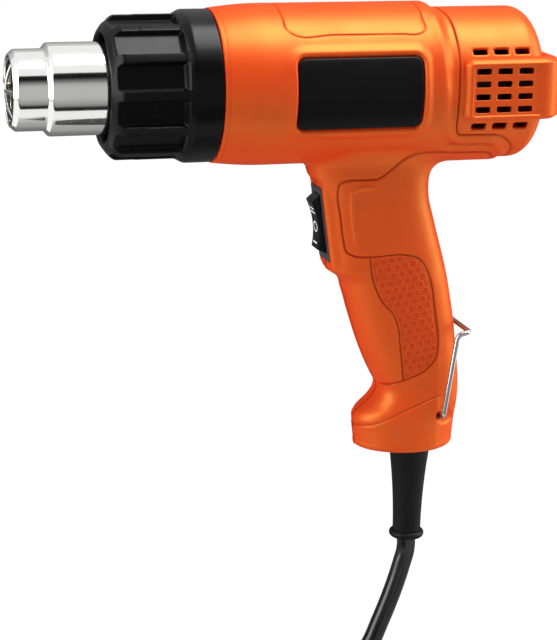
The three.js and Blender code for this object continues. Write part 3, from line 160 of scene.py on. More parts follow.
VALLEY_SINK, VALLEY_WIDTH, DIP_SINK, DIP_WIDTH, DIP_AHEAD = 0.6, 1.25, 0.3, 2.0, 5.8


def smoothstep(low, high, value):
    """Rises from 0 at low to 1 at high along 3t^2 - 2t^3."""
    t = np.clip((value - low) / (high - low), 0.0, 1.0)
    return t * t * (3.0 - 2.0 * t)


def bump(value, width):
    """Bell of height 1: exp(-(value / width)^2)."""
    return np.exp(-((value / width) ** 2))


def places(*parts):
    """Points whose coordinates are the parts, each spread over the same grid."""
    return np.stack(np.broadcast_arrays(*parts), -1)


def nearest(values, wanted):
    """Index of the value nearest to each wanted one."""
    return np.argmin(np.abs(values[:, None] - wanted), axis=0)


def grid_lines(breaks, pitch):
    """Rising numbers through every break, with equal steps of at most a pitch between them."""
    parts = [np.linspace(a, b, max(1, math.ceil((b - a) / pitch)) + 1)[:-1]
             for a, b in zip(breaks, breaks[1:])]
    return np.concatenate(parts + [np.array([breaks[-1]])])


def with_finer(values, spans, step):
    """Rising numbers with more of them, a finer step apart, over each span."""
    return np.unique(np.concatenate([values, *(np.arange(*span, step) for span in spans)]))


def run_along(points):
    """Length run along a line of straight pieces, at each of its points."""
    return np.concatenate([[0.0], np.cumsum(np.linalg.norm(np.diff(points, axis=0), axis=1))])


def through(knots, values, at):
    """Cubic through the knots whose slopes are those of the chords between neighbours."""
    knots, values = np.asarray(knots, float), np.asarray(values, float)
    slope = np.gradient(values, knots)
    i = np.clip(np.searchsorted(knots, at) - 1, 0, len(knots) - 2)
    h = knots[i + 1] - knots[i]
    t = np.clip((at - knots[i]) / h, 0.0, 1.0)
    a, b = t * t * (3 - 2 * t), t * (1 - t)
    return values[i] * (1 - a) + values[i + 1] * a + h * b * ((1 - t) * slope[i] - t * slope[i + 1])


def smooth_line(points, per=KNOT_STEPS):
    """Curve through the points, each coordinate a cubic of the length run along the chords."""
    points = np.asarray(points, float)
    run = run_along(points)
    at = np.interp(np.arange((len(points) - 1) * per + 1) / per, np.arange(len(points)), run)
    return np.stack([through(run, points[:, k], at) for k in range(points.shape[1])], -1)


def line_distance(at, line):
    """Least distance from each point of the plane to a line of straight pieces."""
    best = np.full(at.shape[:-1], np.inf)
    for start, run in zip(line[:-1], np.diff(line, axis=0)):
        t = np.clip(((at - start) @ run) / (run @ run + 1e-12), 0.0, 1.0)
        best = np.minimum(best, np.linalg.norm(at - start - t[..., None] * run, axis=-1))
    return best


def within(at, loop):
    """True inside a closed line: an odd number of its pieces lie to the right."""
    odd = np.zeros(at.shape[:-1], bool)
    for p, q in zip(loop, np.roll(loop, -1, axis=0)):
        across = (p[1] > at[..., 1]) != (q[1] > at[..., 1])
        rise = at[..., 1] - p[1]
        odd ^= across & (at[..., 0] < (q[0] - p[0]) * rise / (q[1] - p[1] + 1e-12) + p[0])
    return odd


def round_box(u, v, half_u, half_v, corner):
    """Signed distance to a rounded rectangle: below 0 inside."""
    a, b = np.abs(u) - half_u + corner, np.abs(v) - half_v + corner
    outside = np.hypot(np.maximum(a, 0), np.maximum(b, 0))
    return outside + np.minimum(np.maximum(a, b), 0) - corner


def rounded_loop(half_u, half_v, corner, per=8):
    """Points round a rounded rectangle: four quarter arcs joined by its straight sides."""
    turn = np.linspace(0, math.pi / 2, per)
    quarters = []
    for k, (su, sv) in enumerate(((1, 1), (-1, 1), (-1, -1), (1, -1))):
        a = turn + k * math.pi / 2
        quarters.append(places(su * (half_u - corner) + corner * np.cos(a),
                               sv * (half_v - corner) + corner * np.sin(a)))
    return np.concatenate(quarters)


def densified(loop, step):
    """Closed line with points added on its straight pieces, at most a step apart."""
    pieces = [np.linspace(p, q, max(1, math.ceil(np.linalg.norm(q - p) / step)) + 1)[:-1]
              for p, q in zip(loop, np.roll(loop, -1, axis=0))]
    return np.concatenate(pieces)


def grid_normals(points):
    """Unit normals of a grid: the cross product of its differences along rows and columns."""
    across = np.cross(np.gradient(points, axis=0), np.gradient(points, axis=1))
    return across / np.maximum(np.linalg.norm(across, axis=-1, keepdims=True), 1e-9)


def full_turn(sides):
    """Equal turns round a circle, without the last that meets the first."""
    return np.arange(sides) * 2 * math.pi / sides


def turned(profile, sides, centre, axis="X"):
    """Profile of (along, radius) carried round a straight axis in equal turns."""
    profile = np.asarray(profile, float)
    turn = full_turn(sides)
    along = np.repeat(profile[:, :1], sides, 1)
    c, s = profile[:, 1:] * np.cos(turn), profile[:, 1:] * np.sin(turn)
    parts = {"X": (along, c, s), "Z": (c, s, along)}[axis]
    return np.stack(parts, -1) + np.asarray(centre, float)


def swept(path, radius, sides, lead):
    """Ring of a radius carried along a path; its first spoke is the lead, made square to it."""
    path = np.asarray(path, float)
    ahead = np.gradient(path, axis=0)
    ahead /= np.linalg.norm(ahead, axis=1, keepdims=True)
    lead = np.broadcast_to(np.asarray(lead, float), path.shape)
    spoke = lead - np.sum(lead * ahead, 1, keepdims=True) * ahead
    spoke /= np.linalg.norm(spoke, axis=1, keepdims=True)
    other = np.cross(ahead, spoke)
    turn = full_turn(sides)[:, None]
    return path[:, None] + radius * (spoke[:, None] * np.cos(turn) + other[:, None] * np.sin(turn))


def capped(rings, first, last):
    """Rings closed at each end by a row whose points all lie at one middle."""
    ends = [np.broadcast_to(middle, (1, rings.shape[1], 3)) for middle in (first, last)]
    return np.concatenate([ends[0], rings, ends[1]])


def rounded_profile(points, radius, per=4):
    """Line of straight pieces whose inner corners become quadratic arcs of about a radius."""
    points = np.asarray(points, float)
    before, here, after = points[:-2], points[1:-1], points[2:]
    back, on = before - here, after - here
    lb, lo = np.linalg.norm(back, axis=1, keepdims=True), np.linalg.norm(on, axis=1, keepdims=True)
    cut = np.minimum(radius, 0.45 * np.minimum(lb, lo))
    p, q = here + back / lb * cut, here + on / lo * cut
    t = np.linspace(0, 1, per + 1)[None, :, None]
    arcs = (1 - t) ** 2 * p[:, None] + 2 * t * (1 - t) * here[:, None] + t * t * q[:, None]
    return np.concatenate([points[:1], arcs.reshape(-1, points.shape[1]), points[-1:]])


def link(name, data):
    """New object of this name in the scene."""
    made = bpy.data.objects.new(name, data)
    bpy.context.scene.collection.objects.link(made)
    return made


class Skin:
    """Grids of points gathered into one mesh. Each is (rows, columns, 3) and may be closed."""

    def __init__(self, name):
        self.name, self.count = name, 0
        self.points, self.faces, self.marks, self.groups = [], [], [], []

    def add(self, points, close_rows=False, close_columns=False, keep=None, mark=None, flip=False,
            group=0):
        """Adds a grid. Its faces join neighbours, less those not kept; marks go to the points:
        painted shade above nought, the pad below it.
        """
        rows, columns = points.shape[:2]
        index = np.arange(rows * columns).reshape(rows, columns) + self.count
        down = np.concatenate([index, index[:1]]) if close_rows else index
        full = np.concatenate([down, down[:, :1]], 1) if close_columns else down
        quads = np.stack([full[:-1, :-1], full[1:, :-1], full[1:, 1:], full[:-1, 1:]], -1)
        quads = quads[keep] if keep is not None else quads.reshape(-1, 4)
        self.faces.append(quads[:, ::-1] if flip else quads)
        self.groups.append(np.full(len(quads), group, np.int32))
        self.points.append(points.reshape(-1, 3))
        self.marks.append(np.zeros(rows * columns) if mark is None else mark.ravel())
        self.count += rows * columns
        return self

    def make(self, body, slot, looks, *nodes, crease=38.0, closed=True, wall=0.0):
        """Puts the grids into a mesh in metres and welds it. The piece rides on its body and stands
        for its nodes. The slot is not used."""
        mesh = bpy.data.meshes.new(self.name)
        places_m = np.concatenate(self.points) * MM
        mesh.from_pydata(places_m.tolist(), [], np.concatenate(self.faces).tolist())
        # The marks become a point attribute: the shell's finish paints shade where it is above
        # nought, and the pad's painted shade and rim highlights where it is below.
        marks = mesh.attributes.new("cavity", "FLOAT", "POINT")
        marks.data.foreach_set("value", np.concatenate(self.marks).astype(np.float32))
        mesh.polygons.foreach_set("material_index", np.concatenate(self.groups))
        self.weld(mesh, closed)
        mesh.polygons.foreach_set("use_smooth", np.ones(len(mesh.polygons), bool))
        mesh.set_sharp_from_angle(angle=math.radians(crease))
        for look in looks.split():
            mesh.materials.append(finish(look))
        piece = link(self.name, mesh)
        if wall:
            thick = piece.modifiers.new("Wall", "SOLIDIFY")
            thick.thickness, thick.offset = wall * MM, -1.0
        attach(piece, body)
        if nodes:
            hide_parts(*nodes)
        return piece

    def weld(self, mesh, closed):
        """Merges doubles, drops what has no area or no face and turns a closed mesh outwards."""
        work = bmesh.new()
        work.from_mesh(mesh)
        bmesh.ops.remove_doubles(work, verts=work.verts, dist=2e-7)
        bmesh.ops.dissolve_degenerate(work, edges=work.edges, dist=1e-8)
        if closed:
            bmesh.ops.recalc_face_normals(work, faces=work.faces)
        loose = [v for v in work.verts if not v.link_faces]
        bmesh.ops.delete(work, geom=loose, context="VERTS")
        work.to_mesh(mesh)
        work.free()


def solid(name, grid, slot, look, *nodes, body="tool", rows=False, crease=38.0):
    """One piece from a grid whose columns, and rows where asked, close on themselves."""
    return Skin(name).add(grid, rows, True).make(body, slot, look, *nodes, crease=crease)


class Value:
    """A socket in an expression: arithmetic on it adds Math nodes to the material."""

    def __init__(self, finish, socket):
        self.finish, self.socket = finish, socket

    def math(self, operation, *others, first=True, clamp=False):
        sockets = [self, *others] if first else [*others, self]
        settings = {"operation": operation, "use_clamp": clamp}
        return self.finish.node("ShaderNodeMath", settings, sockets)

    def __add__(self, other):
        return self.math("ADD", other)

    __radd__ = __add__

    def __sub__(self, other):
        return self.math("SUBTRACT", other)

    def __rsub__(self, other):
        return self.math("SUBTRACT", other, first=False)

    def __mul__(self, other):
        return self.math("MULTIPLY", other)

    __rmul__ = __mul__

    def __truediv__(self, other):
        return self.math("DIVIDE", other)

    def clamped(self):
        return self.math("ADD", 0.0, clamp=True)


class Finish:
    """One node material: node() adds any node, its settings first, then its values and links."""

    def __init__(self, owner):
        self.owner = owner
        owner.use_nodes = True
        self.tree = owner.node_tree
        self.shader = self.tree.nodes.get("Principled BSDF")

    @classmethod
    def named(cls, name):
        return cls(bpy.data.materials.new(name))

    def put(self, socket, value):
        if isinstance(value, Value):
            self.tree.links.new(value.socket, socket)
        else:
            socket.default_value = value

    def node(self, kind, settings=(), sockets=(), out=0):
        node = self.tree.nodes.new(kind)
        for key, value in dict(settings).items():
            setattr(node, key, value)
        for key, value in sockets.items() if isinstance(sockets, dict) else enumerate(sockets):
            self.put(node.inputs[key], value)
        return Value(self, node.outputs[out])

    def place(self):
        return self.node("ShaderNodeTexCoord", out="Object")

    def noise(self, scale, detail=2.0, stretch=None):
        vector = self.place()
        if stretch:
            vector = self.node("ShaderNodeMapping", {}, {"Vector": vector, "Scale": stretch})
        sockets = {"Vector": vector, "Scale": scale, "Detail": detail}
        return self.node("ShaderNodeTexNoise", {}, sockets, out="Fac")

    def mix(self, factor, first, second):
        sockets = {0: factor, 6: first, 7: second}
        return self.node("ShaderNodeMix", {"data_type": "RGBA"}, sockets, out=2)

    def bumps(self, height, strength, distance):
        sockets = {"Height": height, "Strength": strength, "Distance": distance}
        return self.node("ShaderNodeBump", {}, sockets)

    def cell_rim_highlight(self, pitch):
        """Rims of a hexagonal net on X and Z, for a painted highlight: each place is wrapped to the
        nearest cell of two nets of oblongs, and the rim is where its six-sided distance from that
        cell's middle is about two fifths of the pitch."""
        x, z = (self.node("ShaderNodeSeparateXYZ", {}, {0: self.place()}, out=k) - c * MM
                for k, c in zip("XZ", CELL_CENTRE))
        c, s = math.cos(CELL_TURN) / pitch, math.sin(CELL_TURN) / pitch
        u, v, high = x * c + z * s, z * c - x * s, math.sqrt(0.75)
        reach = []
        for shift in (0.0, 1.0):
            a = (u + 0.5 * shift).math("WRAP", 0.5, -0.5).math("ABSOLUTE")
            b = (v + high * shift).math("WRAP", high, -high).math("ABSOLUTE")
            reach.append(a.math("MAXIMUM", a * 0.5 + b * high))
        away = (reach[0].math("MINIMUM", reach[1]) - CELL_RIM).math("ABSOLUTE")
        return (1.0 - away / CELL_RIM_HALF).clamped()

    def attribute(self, name):
        return self.node("ShaderNodeAttribute", {"attribute_name": name}, out="Fac")

    def lay_over(self, share, over):
        """Lays a second shader over the first, by a share."""
        under = Value(self, self.shader.outputs[0])
        mixed = self.node("ShaderNodeMixShader", {}, (share, under, over))
        self.put(self.tree.nodes["Material Output"].inputs["Surface"], mixed)

    def shade(self, **inputs):
        for key, value in inputs.items():
            self.put(self.shader.inputs[key.replace("_", " ")], value)
        return self.owner


def tinted(colour, shares):
    """The colour with its three parts each times a share."""
    return (*[c * s for c, s in zip(colour, shares)], 1.0)


def shaded(colour, share):
    """The colour with its three parts times one share."""
    return tinted(colour, (share,) * 3)


def moulded(name, colour, rough, grain, grain_scale, spread=0.06, specular=0.2, gloss=None):
    """Moulded plastic: spark-eroded grain, faint flow in the colour, duller where handled. With a
    gloss it is the shell's: painted shade darkens its grooves and its recessed pad, a painted
    highlight lightens the rims of the pad's cells, and a thin warm lustre lies over it, thinned
    where the shade is painted."""
    f = Finish.named(name)
    flow, wear, fine = f.noise(35.0, 3.0), f.noise(90.0, 4.0), f.noise(grain_scale)
    tone = f.mix(flow, shaded(colour, 1.0 - spread), shaded(colour, 1.0 + spread))
    surface = {"Roughness": wear * 0.14 + fine * 0.05 + (rough - 0.095),
               "Normal": f.bumps(fine, grain, 0.0002)}
    if gloss:
        mark = f.attribute("cavity")
        rim, pad = f.cell_rim_highlight(sizes().cell_pitch), (mark * -1.0).clamped()
        # Painted shade: the grooves' dark red, where the mark is above nought.
        groove_shade = (mark * GROOVE_SHADE_SHARE).clamped()
        tone = f.mix(groove_shade, tone, tinted(colour, GROOVE_SHADE_TINT))
        # Painted shade over the recessed pad, where the mark is below nought.
        tone = f.mix(pad * PAD_SHADE_SHARE, tone, tinted(colour, PAD_SHADE_TINT))
        # Painted highlight on the rims of the pad's cells.
        tone = f.mix(pad * rim * RIM_HIGHLIGHT_SHARE, tone, tinted(colour, RIM_HIGHLIGHT_TINT))
        sheen = (*gloss[:3], 1.0)
        lustre = {"Base Color": sheen, "Specular Tint": sheen, "Metallic": 1.0, **surface}
        # The lustre is thinned under the painted shade of the grooves and the pad.
        f.lay_over((1.0 - groove_shade) * (1.0 - pad * 0.5) * gloss[3],
                   f.node("ShaderNodeBsdfPrincipled", {}, lustre))
    return f.shade(Base_Color=tone, Specular_IOR_Level=specular, **surface)


def metal(name, colour, rough, lines=(1.0, 1.0, 1.0), depth=0.02, tint=None):
    """Bare or plated metal: fine drawn lines along one direction, breath marks in the roughness."""
    f = Finish.named(name)
    drawn, breath = f.noise(900.0, stretch=lines), f.noise(60.0, 4.0)
    return f.shade(Base_Color=f.mix(breath, shaded(colour, 0.93), tint or colour), Metallic=1.0,
                   Roughness=breath * 0.06 + drawn * 0.05 + max(rough - 0.055, 0.0),
                   Normal=f.bumps(drawn, depth, 0.00005))


def rubber(name, colour, rough, speck=0.25, specular=0.2):
    """Rubber or soft vinyl: fine specks in the surface, a grey bloom in patches, dull gloss."""
    f = Finish.named(name)
    specks, bloom = f.noise(2600.0, 3.0), f.noise(70.0, 4.0)
    return f.shade(Base_Color=f.mix(bloom, colour, shaded(colour, 1.5)),
                   Specular_IOR_Level=specular,
                   Roughness=bloom * 0.12 + specks * 0.08 + (rough - 0.1),
                   Normal=f.bumps(specks, speck, 0.0001))


def layered(name, colour, second, rough):
    """Sheet of pressed flakes or woven board: two tones in cells, with the edges in the bump."""
    f = Finish.named(name)
    cells = f.node("ShaderNodeTexVoronoi", {"feature": "F1"},
                   {"Vector": f.place(), "Scale": 700.0}, out="Color")
    shade, haze = f.node("ShaderNodeSeparateColor", {}, {0: cells}), f.noise(120.0, 4.0)
    return f.shade(Base_Color=f.mix(shade * 0.6 + haze * 0.4, colour, second),
                   Roughness=haze * 0.2 + (rough - 0.1), Normal=f.bumps(shade, 0.15, 0.0001))


def painted(name, colour, rough):
    """Printed paint: slightly uneven film over the plastic under it."""
    f = Finish.named(name)
    film = f.noise(1500.0, 3.0)
    return f.shade(Base_Color=f.mix(film, shaded(colour, 0.92), colour),
                   Roughness=film * 0.2 + rough, Normal=f.bumps(film, 0.05, 0.00005))


def length_prop(name, text, value):
    return bpy.props.FloatProperty(name=name, description=text, default=value, unit="LENGTH",
                                   precision=5)


def colour_prop(name, text, value):
    return bpy.props.FloatVectorProperty(name=name, description=text, default=value, size=3,
                                         subtype="COLOR", min=0.0, max=1.0)


def power_prop(name, text, value):
    return bpy.props.FloatProperty(name=name, description=text, default=value, min=0.0)


class HotAirSizes(bpy.types.PropertyGroup):
    """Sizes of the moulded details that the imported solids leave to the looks."""

    groove_depth: length_prop("Groove depth", "Depth of the lines between moulded panels", 0.00052)
    groove_width: length_prop("Groove width", "Half width of those lines", 0.0004)
    badge_rise: length_prop("Badge frame rise", "Height of the frame round the bare plate", 0.00095)
    badge_sink: length_prop("Badge sink", "Depth of the plate's seat under the barrel", 0.0010)
    cell_pitch: length_prop("Cell pitch", "Distance between the cells of the grip pad", 0.0039)
    cell_rise: length_prop("Cell rise", "Height of a cell over the pad between them", 0.0003)
    wall: length_prop("Wall", "Thickness of the moulded skin at the air slots", 0.0018)
    cord_radius: length_prop("Lead radius", "Half the diameter of the mains lead", 0.0043)
    bail_radius: length_prop("Bail wire radius", "Half the diameter of the bail's wire", 0.0011)


class HotAirColours(bpy.types.PropertyGroup):
    """Colours of the finishes, in scene-linear values."""

    shell: colour_prop("Shell", "Orange of the moulded body", (0.6, 0.034, 0.0058))
    black: colour_prop("Black plastic", "Heat collar, plate and rocker", (0.0013, 0.0014, 0.0014))
    grey: colour_prop("Switch frame", "Dark grey of the switch frame", (0.045, 0.046, 0.048))
    steel: colour_prop("Bright steel", "Nozzle, guard and bail", (0.86, 0.86, 0.85))
    rubber: colour_prop("Rubber", "Cord guard, lead and plug", (0.005, 0.0051, 0.0052))
    mark: colour_prop("Switch marks", "White of the printed marks", (0.86, 0.86, 0.86))


class HotAirStage(bpy.types.PropertyGroup):
    """Light, floor and camera."""

    top: power_prop("Top light", "Power of the large lamp above", 19.0)
    sides: power_prop("Side lights", "Power of the two lamps beside", 17.0)
    fill: power_prop("Fill", "Strength of the even light from all round", 0.2)
    floor_z: length_prop("Floor height", "Height of the surface that the lead lies on",
                         CAD_BOX[0][2])
    lens: bpy.props.FloatProperty(
        name="Lens", description="Focal length that gives the picture's perspective",
        default=2043.0 / 557.0 * 36.0, unit="CAMERA")


def sizes():
    return bpy.context.scene.hot_air_sizes


def colour_of(name, share=1.0):
    return shaded(getattr(bpy.context.scene.hot_air_colours, name), share)


# Shares and tints of the painted shade in the shell's grooves and on its pad, and of the painted
# highlight on the pad's rims
GROOVE_SHADE_SHARE, PAD_SHADE_SHARE, RIM_HIGHLIGHT_SHARE = 0.85, 0.8, 0.75
GROOVE_SHADE_TINT, PAD_SHADE_TINT, RIM_HIGHLIGHT_TINT = (0.3, 0.15, 0.2), (0.8, 0.4, 0.5), (1.3, 4.5, 6.0)
SHELL_GLOSS = (1.0, 0.6, 0.12, 0.105)  # colour of the shell's lustre, and its share
ALONG_X, FINISHES = (0.1, 1.0, 1.0), {}
MAKERS = {
    "shell": lambda: moulded("orange moulding", colour_of("shell"), 0.42, grain=0.05,
                             grain_scale=2600.0, spread=0.05, specular=0.03, gloss=SHELL_GLOSS),
    "collar": lambda: moulded("black collar moulding", colour_of("black"), 0.28, grain=0.05,
                              grain_scale=2400.0, spread=0.2, specular=0.13),
    "plate": lambda: moulded("bare black plate", colour_of("black", 0.55), 0.4, grain=0.03,
                             grain_scale=3500.0, spread=0.15, specular=0.15),
    "switch": lambda: moulded("switch frame", colour_of("grey"), 0.5, grain=0.06,
                              grain_scale=3000.0, spread=0.1),
    "rocker": lambda: moulded("rocker", colour_of("black", 0.9), 0.3, grain=0.03,
                              grain_scale=3500.0, spread=0.15),
    "mark": lambda: painted("white print", colour_of("mark"), 0.4),
    "steel": lambda: metal("bright plated steel", colour_of("steel"), 0.09, (1.0, 0.08, 0.08),
                           0.01),
    # The bail's wire is the steel at six tenths: painted shade that darkens its reflections.
    "wire": lambda: metal("bright bail wire", colour_of("steel", 0.6), 0.12, (0.2, 1.0, 0.2), 0.01),
    "screw": lambda: metal("zinc screw", (0.62, 0.62, 0.60, 1.0), 0.3, depth=0.05),
    "motor": lambda: metal("motor can", (0.06, 0.045, 0.04, 1.0), 0.5, ALONG_X, 0.05),
    "heater": lambda: metal("resistance wire", (0.34, 0.31, 0.30, 1.0), 0.45,
                            tint=(0.30, 0.24, 0.22, 1.0)),
    "brass": lambda: metal("brass blade", (0.72, 0.51, 0.20, 1.0), 0.28,
                           tint=(0.66, 0.43, 0.16, 1.0)),
    "pin": lambda: metal("nickel pin", (0.70, 0.67, 0.60, 1.0), 0.2, ALONG_X, 0.03),
    # Dark moulding of the duct, also on the motor's end and the cord clamp; its brown is painted
    # shade for the insides seen through the air slots.
    "duct": lambda: moulded("duct moulding", (0.014, 0.005, 0.003, 1.0), 0.6, grain=0.08,
                            grain_scale=2000.0, spread=0.1, specular=0.05),
    "fan": lambda: moulded("fan moulding", (0.02, 0.02, 0.022, 1.0), 0.45, grain=0.06,
                           grain_scale=2000.0),
    "mica": lambda: layered("mica sheet", (0.55, 0.44, 0.26, 1.0), (0.38, 0.29, 0.16, 1.0), 0.5),
    "board": lambda: layered("rectifier board", (0.02, 0.13, 0.05, 1.0), (0.03, 0.17, 0.07, 1.0),
                             0.45),
    "lead": lambda: rubber("lead insulation", (0.20, 0.03, 0.02, 1.0), 0.4, speck=0.1),
    "guard": lambda: rubber("cord guard rubber", colour_of("rubber", 0.8), 0.48, speck=0.3,
                            specular=0.14),
    "cord": lambda: rubber("vinyl lead", colour_of("rubber", 0.4), 0.2, speck=0.03, specular=0.5),
    "plug": lambda: rubber("plug vinyl", colour_of("rubber"), 0.45, speck=0.2),
    "tie": lambda: rubber("tie strap", colour_of("rubber", 1.3), 0.75, speck=0.5),
}


def finish(name):
    """The named finish, made once from the colours that the user holds."""
    if name not in FINISHES:
        FINISHES[name] = MAKERS[name]()
    return FINISHES[name]


def barrel_radius(x, phi):
    """Radius of the barrel's skin. Front: swells by a quarter sine. Rear: an eccentric circle,
    drawn in behind a rounded step. Underneath a tongue of the front keeps its full radius to the
    end of the grip's saddle."""
    t = np.clip((x - BODY_FRONT_X) / (BODY_FULL_X - BODY_FRONT_X), 0, 1)
    front = BODY_FRONT_R + (BODY_R - BODY_FRONT_R) * np.sin(t * math.pi / 2)
    under = smoothstep(-52, -76, np.degrees(phi)) * smoothstep(-6, 12, x)
    front = front + (TONGUE_R - BODY_R) * under
    rear = -REAR_DROP * np.sin(phi) + np.sqrt(REAR_R ** 2 - (REAR_DROP * np.cos(phi)) ** 2)
    ahead, below = STEP_CORNER - (x - STEP_X), STEP_CORNER - (BODY_R * phi + STEP_DROP)
    round_corner = np.hypot(np.maximum(ahead, 0), np.maximum(below, 0))
    deep = STEP_CORNER - (round_corner + np.minimum(np.maximum(ahead, below), 0))
    soft = STEP_WIDTH + STEP_SOFTENS * smoothstep(-4.0, 4.0, ahead - below)
    step = smoothstep(-0.26 * soft, 0.74 * soft, deep)
    back = np.maximum(step, smoothstep(TONGUE_END_X - 0.8, TONGUE_END_X + 1.4, x))
    return front + (rear - front) * back


def on_barrel(x, radius, phi):
    """Points round the barrel's axis: the angle is 0 level on the left and rises with it."""
    return places(x, -radius * np.cos(phi), AXIS_Z + radius * np.sin(phi))


def side_coordinates(points):
    """X and Z where the line from the eye through a point meets the side plane of the grip."""
    eye = np.array(EYE)
    run = points - eye
    t = (SIDE_PLANE - eye[1]) / run[..., 1]
    return places(eye[0] + t * run[..., 0], eye[2] + t * run[..., 2])


def cell_reach(at):
    """Six-sided distance, in pitches, from the nearest middle of the hexagonal net: half a pitch at
    a cell's flat sides."""
    c, s, step = math.cos(CELL_TURN), math.sin(CELL_TURN), np.array([1.0, math.sqrt(3)])
    at = (at - np.array(CELL_CENTRE)) @ np.array([[c, -s], [s, c]]) / (sizes().cell_pitch / MM)
    reach = []
    for shift in (0.0, 0.5):
        off = np.abs((at / step + shift + 0.5) % 1.0 - 0.5) * step
        reach.append(np.maximum(off[..., 0], 0.5 * off[..., 0] + math.sqrt(0.75) * off[..., 1]))
    return np.minimum(*reach)


def grip_relief(points):
    """Relief of the grip's side, and its mark: painted shade in the grooves, along the base line,
    in the channel and in the bail pin's hole or, below nought, the pad with cells. Grooves are
    bells of the distance from their lines, sinks are smooth steps."""
    s = sizes()
    depth, width = s.groove_depth / MM, s.groove_width / MM
    at = side_coordinates(points)
    x, z, side = at[..., 0], at[..., 1], smoothstep(-4.0, -9.0, points[..., 1])
    panel, pad_left, base, rib, channel = (
        smooth_line(line) for line in (PANEL_LINE, PAD_LEFT, BASE_LINE, RIB_LINE, CHANNEL_LINE))
    to_panel, to_left, to_base, to_rib, to_channel = (
        line_distance(at, line) for line in (panel, pad_left, base, rib, channel))

    lines = np.maximum(bump(to_panel, width), bump(to_left, width))
    pad = panel[PAD_FIRST * KNOT_STEPS:PAD_LAST * KNOT_STEPS + 1]
    in_pad = within(at, np.concatenate([pad, pad_left[::-1]]))
    inset = np.where(in_pad, np.minimum(to_panel, to_left), 0.0)
    cells = s.cell_rise / MM * smoothstep(*CELL_EDGE, cell_reach(points[..., ::2]))
    relief = -depth * lines * side - PAD_SINK * smoothstep(0.3, 1.1, inset)
    relief += cells * smoothstep(0.8, 1.6, inset)

    fade = smoothstep(28.0, 36.0, z) * smoothstep(-16.0, -20.0, x)
    inner = within(at, np.concatenate([rib, RIB_INNER]))
    relief += RIB_RISE * bump(to_rib, 0.8) * fade * side
    relief -= PANEL_SINK * np.where(inner, smoothstep(0.3, 1.6, to_rib), 0.0) * fade * side

    below = np.interp(x, base[:, 0], base[:, 1]) - z
    relief += BASE_STEP * smoothstep(-0.2, 0.5, below) * smoothstep(17.0, 14.0, x)
    relief -= BASE_STEP * bump(to_base, 0.45)

    knots = np.array(CHANNEL_LINE)
    behind = x - np.interp(-z, -knots[:, 1], knots[:, 0])
    span = smoothstep(-6.0, -14.0, z) * smoothstep(-50.0, -46.0, z)
    sunk = smoothstep(-1.6, 1.4, behind) * span * side * smoothstep(25.5, 21.0, x)
    relief -= CHANNEL_SINK * sunk

    recess = np.hypot(x - PIVOT[0] - 1.4, z - PIVOT[1])
    relief -= RECESS_SINK * smoothstep(4.2, 3.2, recess) * side
    hole = np.hypot(points[..., 0] - PIVOT[0] + 0.2, points[..., 2] - PIVOT[1] + 0.4)
    # Painted shade: dark lines in the grooves, along the base line and the channel, and a dark spot
    # for the hole that the bail's pin enters.
    painted_shade_parts = (lines * side, 0.55 * bump(to_base, 0.5), 0.35 * bump(to_channel, 0.6) * span * side,
                1.2 * smoothstep(2.3, 1.7, hole) * side)
    mark = np.maximum.reduce(painted_shade_parts)
    return relief, np.where(lines * side > 0.02, mark, mark - smoothstep(0.5, 1.2, inset))


def girth_line(line, ahead=0.0):
    """Smooth line of the barrel, from places and angles to places and lengths round it."""
    return smooth_line((np.array(line) - (ahead, 0)) * (1, GIRTH_PER_DEGREE))


def barrel_relief(x, phi, radius, left):
    """Relief of the barrel and its painted shade: bells of the distance from the panel lines, the
    rear line and the front lip, a raised bar beside a dip, and the plate's soft frame and seat. The
    shade is painted in the grooves, in the valley below the bar and round the plate's seat."""
    s = sizes()
    depth, width = s.groove_depth / MM, s.groove_width / MM
    at = places(x, radius * phi)
    top, rear, bar, valley, dip = (line_distance(at, line) for line in (
        *map(girth_line, (TOP_LINE, REAR_LINE, BAR_LINE, VALLEY_LINE)),
        girth_line(BAR_LINE[:BAR_UPRIGHT], DIP_AHEAD)))
    lip = np.abs(x - (BODY_FRONT_X + 1.6))
    lines = np.maximum.reduce((0.6 * bump(top, 0.8 * width), bump(rear, width),
                               0.4 * bump(lip, 0.7 * width)))
    rise = BAR_RISE + BAR_RISE_BELOW * smoothstep(-24, -40, np.degrees(phi))
    relief = -depth * lines + rise * bump(bar, BAR_WIDTH)
    relief -= VALLEY_SINK * bump(valley, VALLEY_WIDTH) + DIP_SINK * bump(dip, DIP_WIDTH)
    # Painted shade in the valley below the bar.
    lines = np.maximum(lines, 0.45 * bump(valley, 1.5))
    if left:
        half_x, half_z = (half + BADGE_ROOM for half in BADGE_HALF)
        d = round_box(x - BADGE_X, radius * np.sin(phi), half_x, half_z, BADGE_CORNER + BADGE_ROOM)
        rise = s.badge_rise / MM * smoothstep(-0.1, 1.3, d) * smoothstep(5.2, 1.3, d)
        relief += rise - s.badge_sink / MM * smoothstep(0.5, -0.2, d)
        # Painted shade round the edge of the plate's seat.
        lines = np.maximum(lines, 0.8 * bump(d + 0.1, 0.5))
    return relief, lines


def clear_of_screws(x, points, screws):
    """True where a place of the right half lies outside the wells of these screws."""
    clear = np.ones(np.shape(x), bool)
    for screw_x, screw_z in screws:
        away = np.hypot(x - screw_x, points[..., 2] - screw_z)
        clear &= ~((away < SCREW_CLEAR) & (points[..., 1] > 5.0))
    return clear


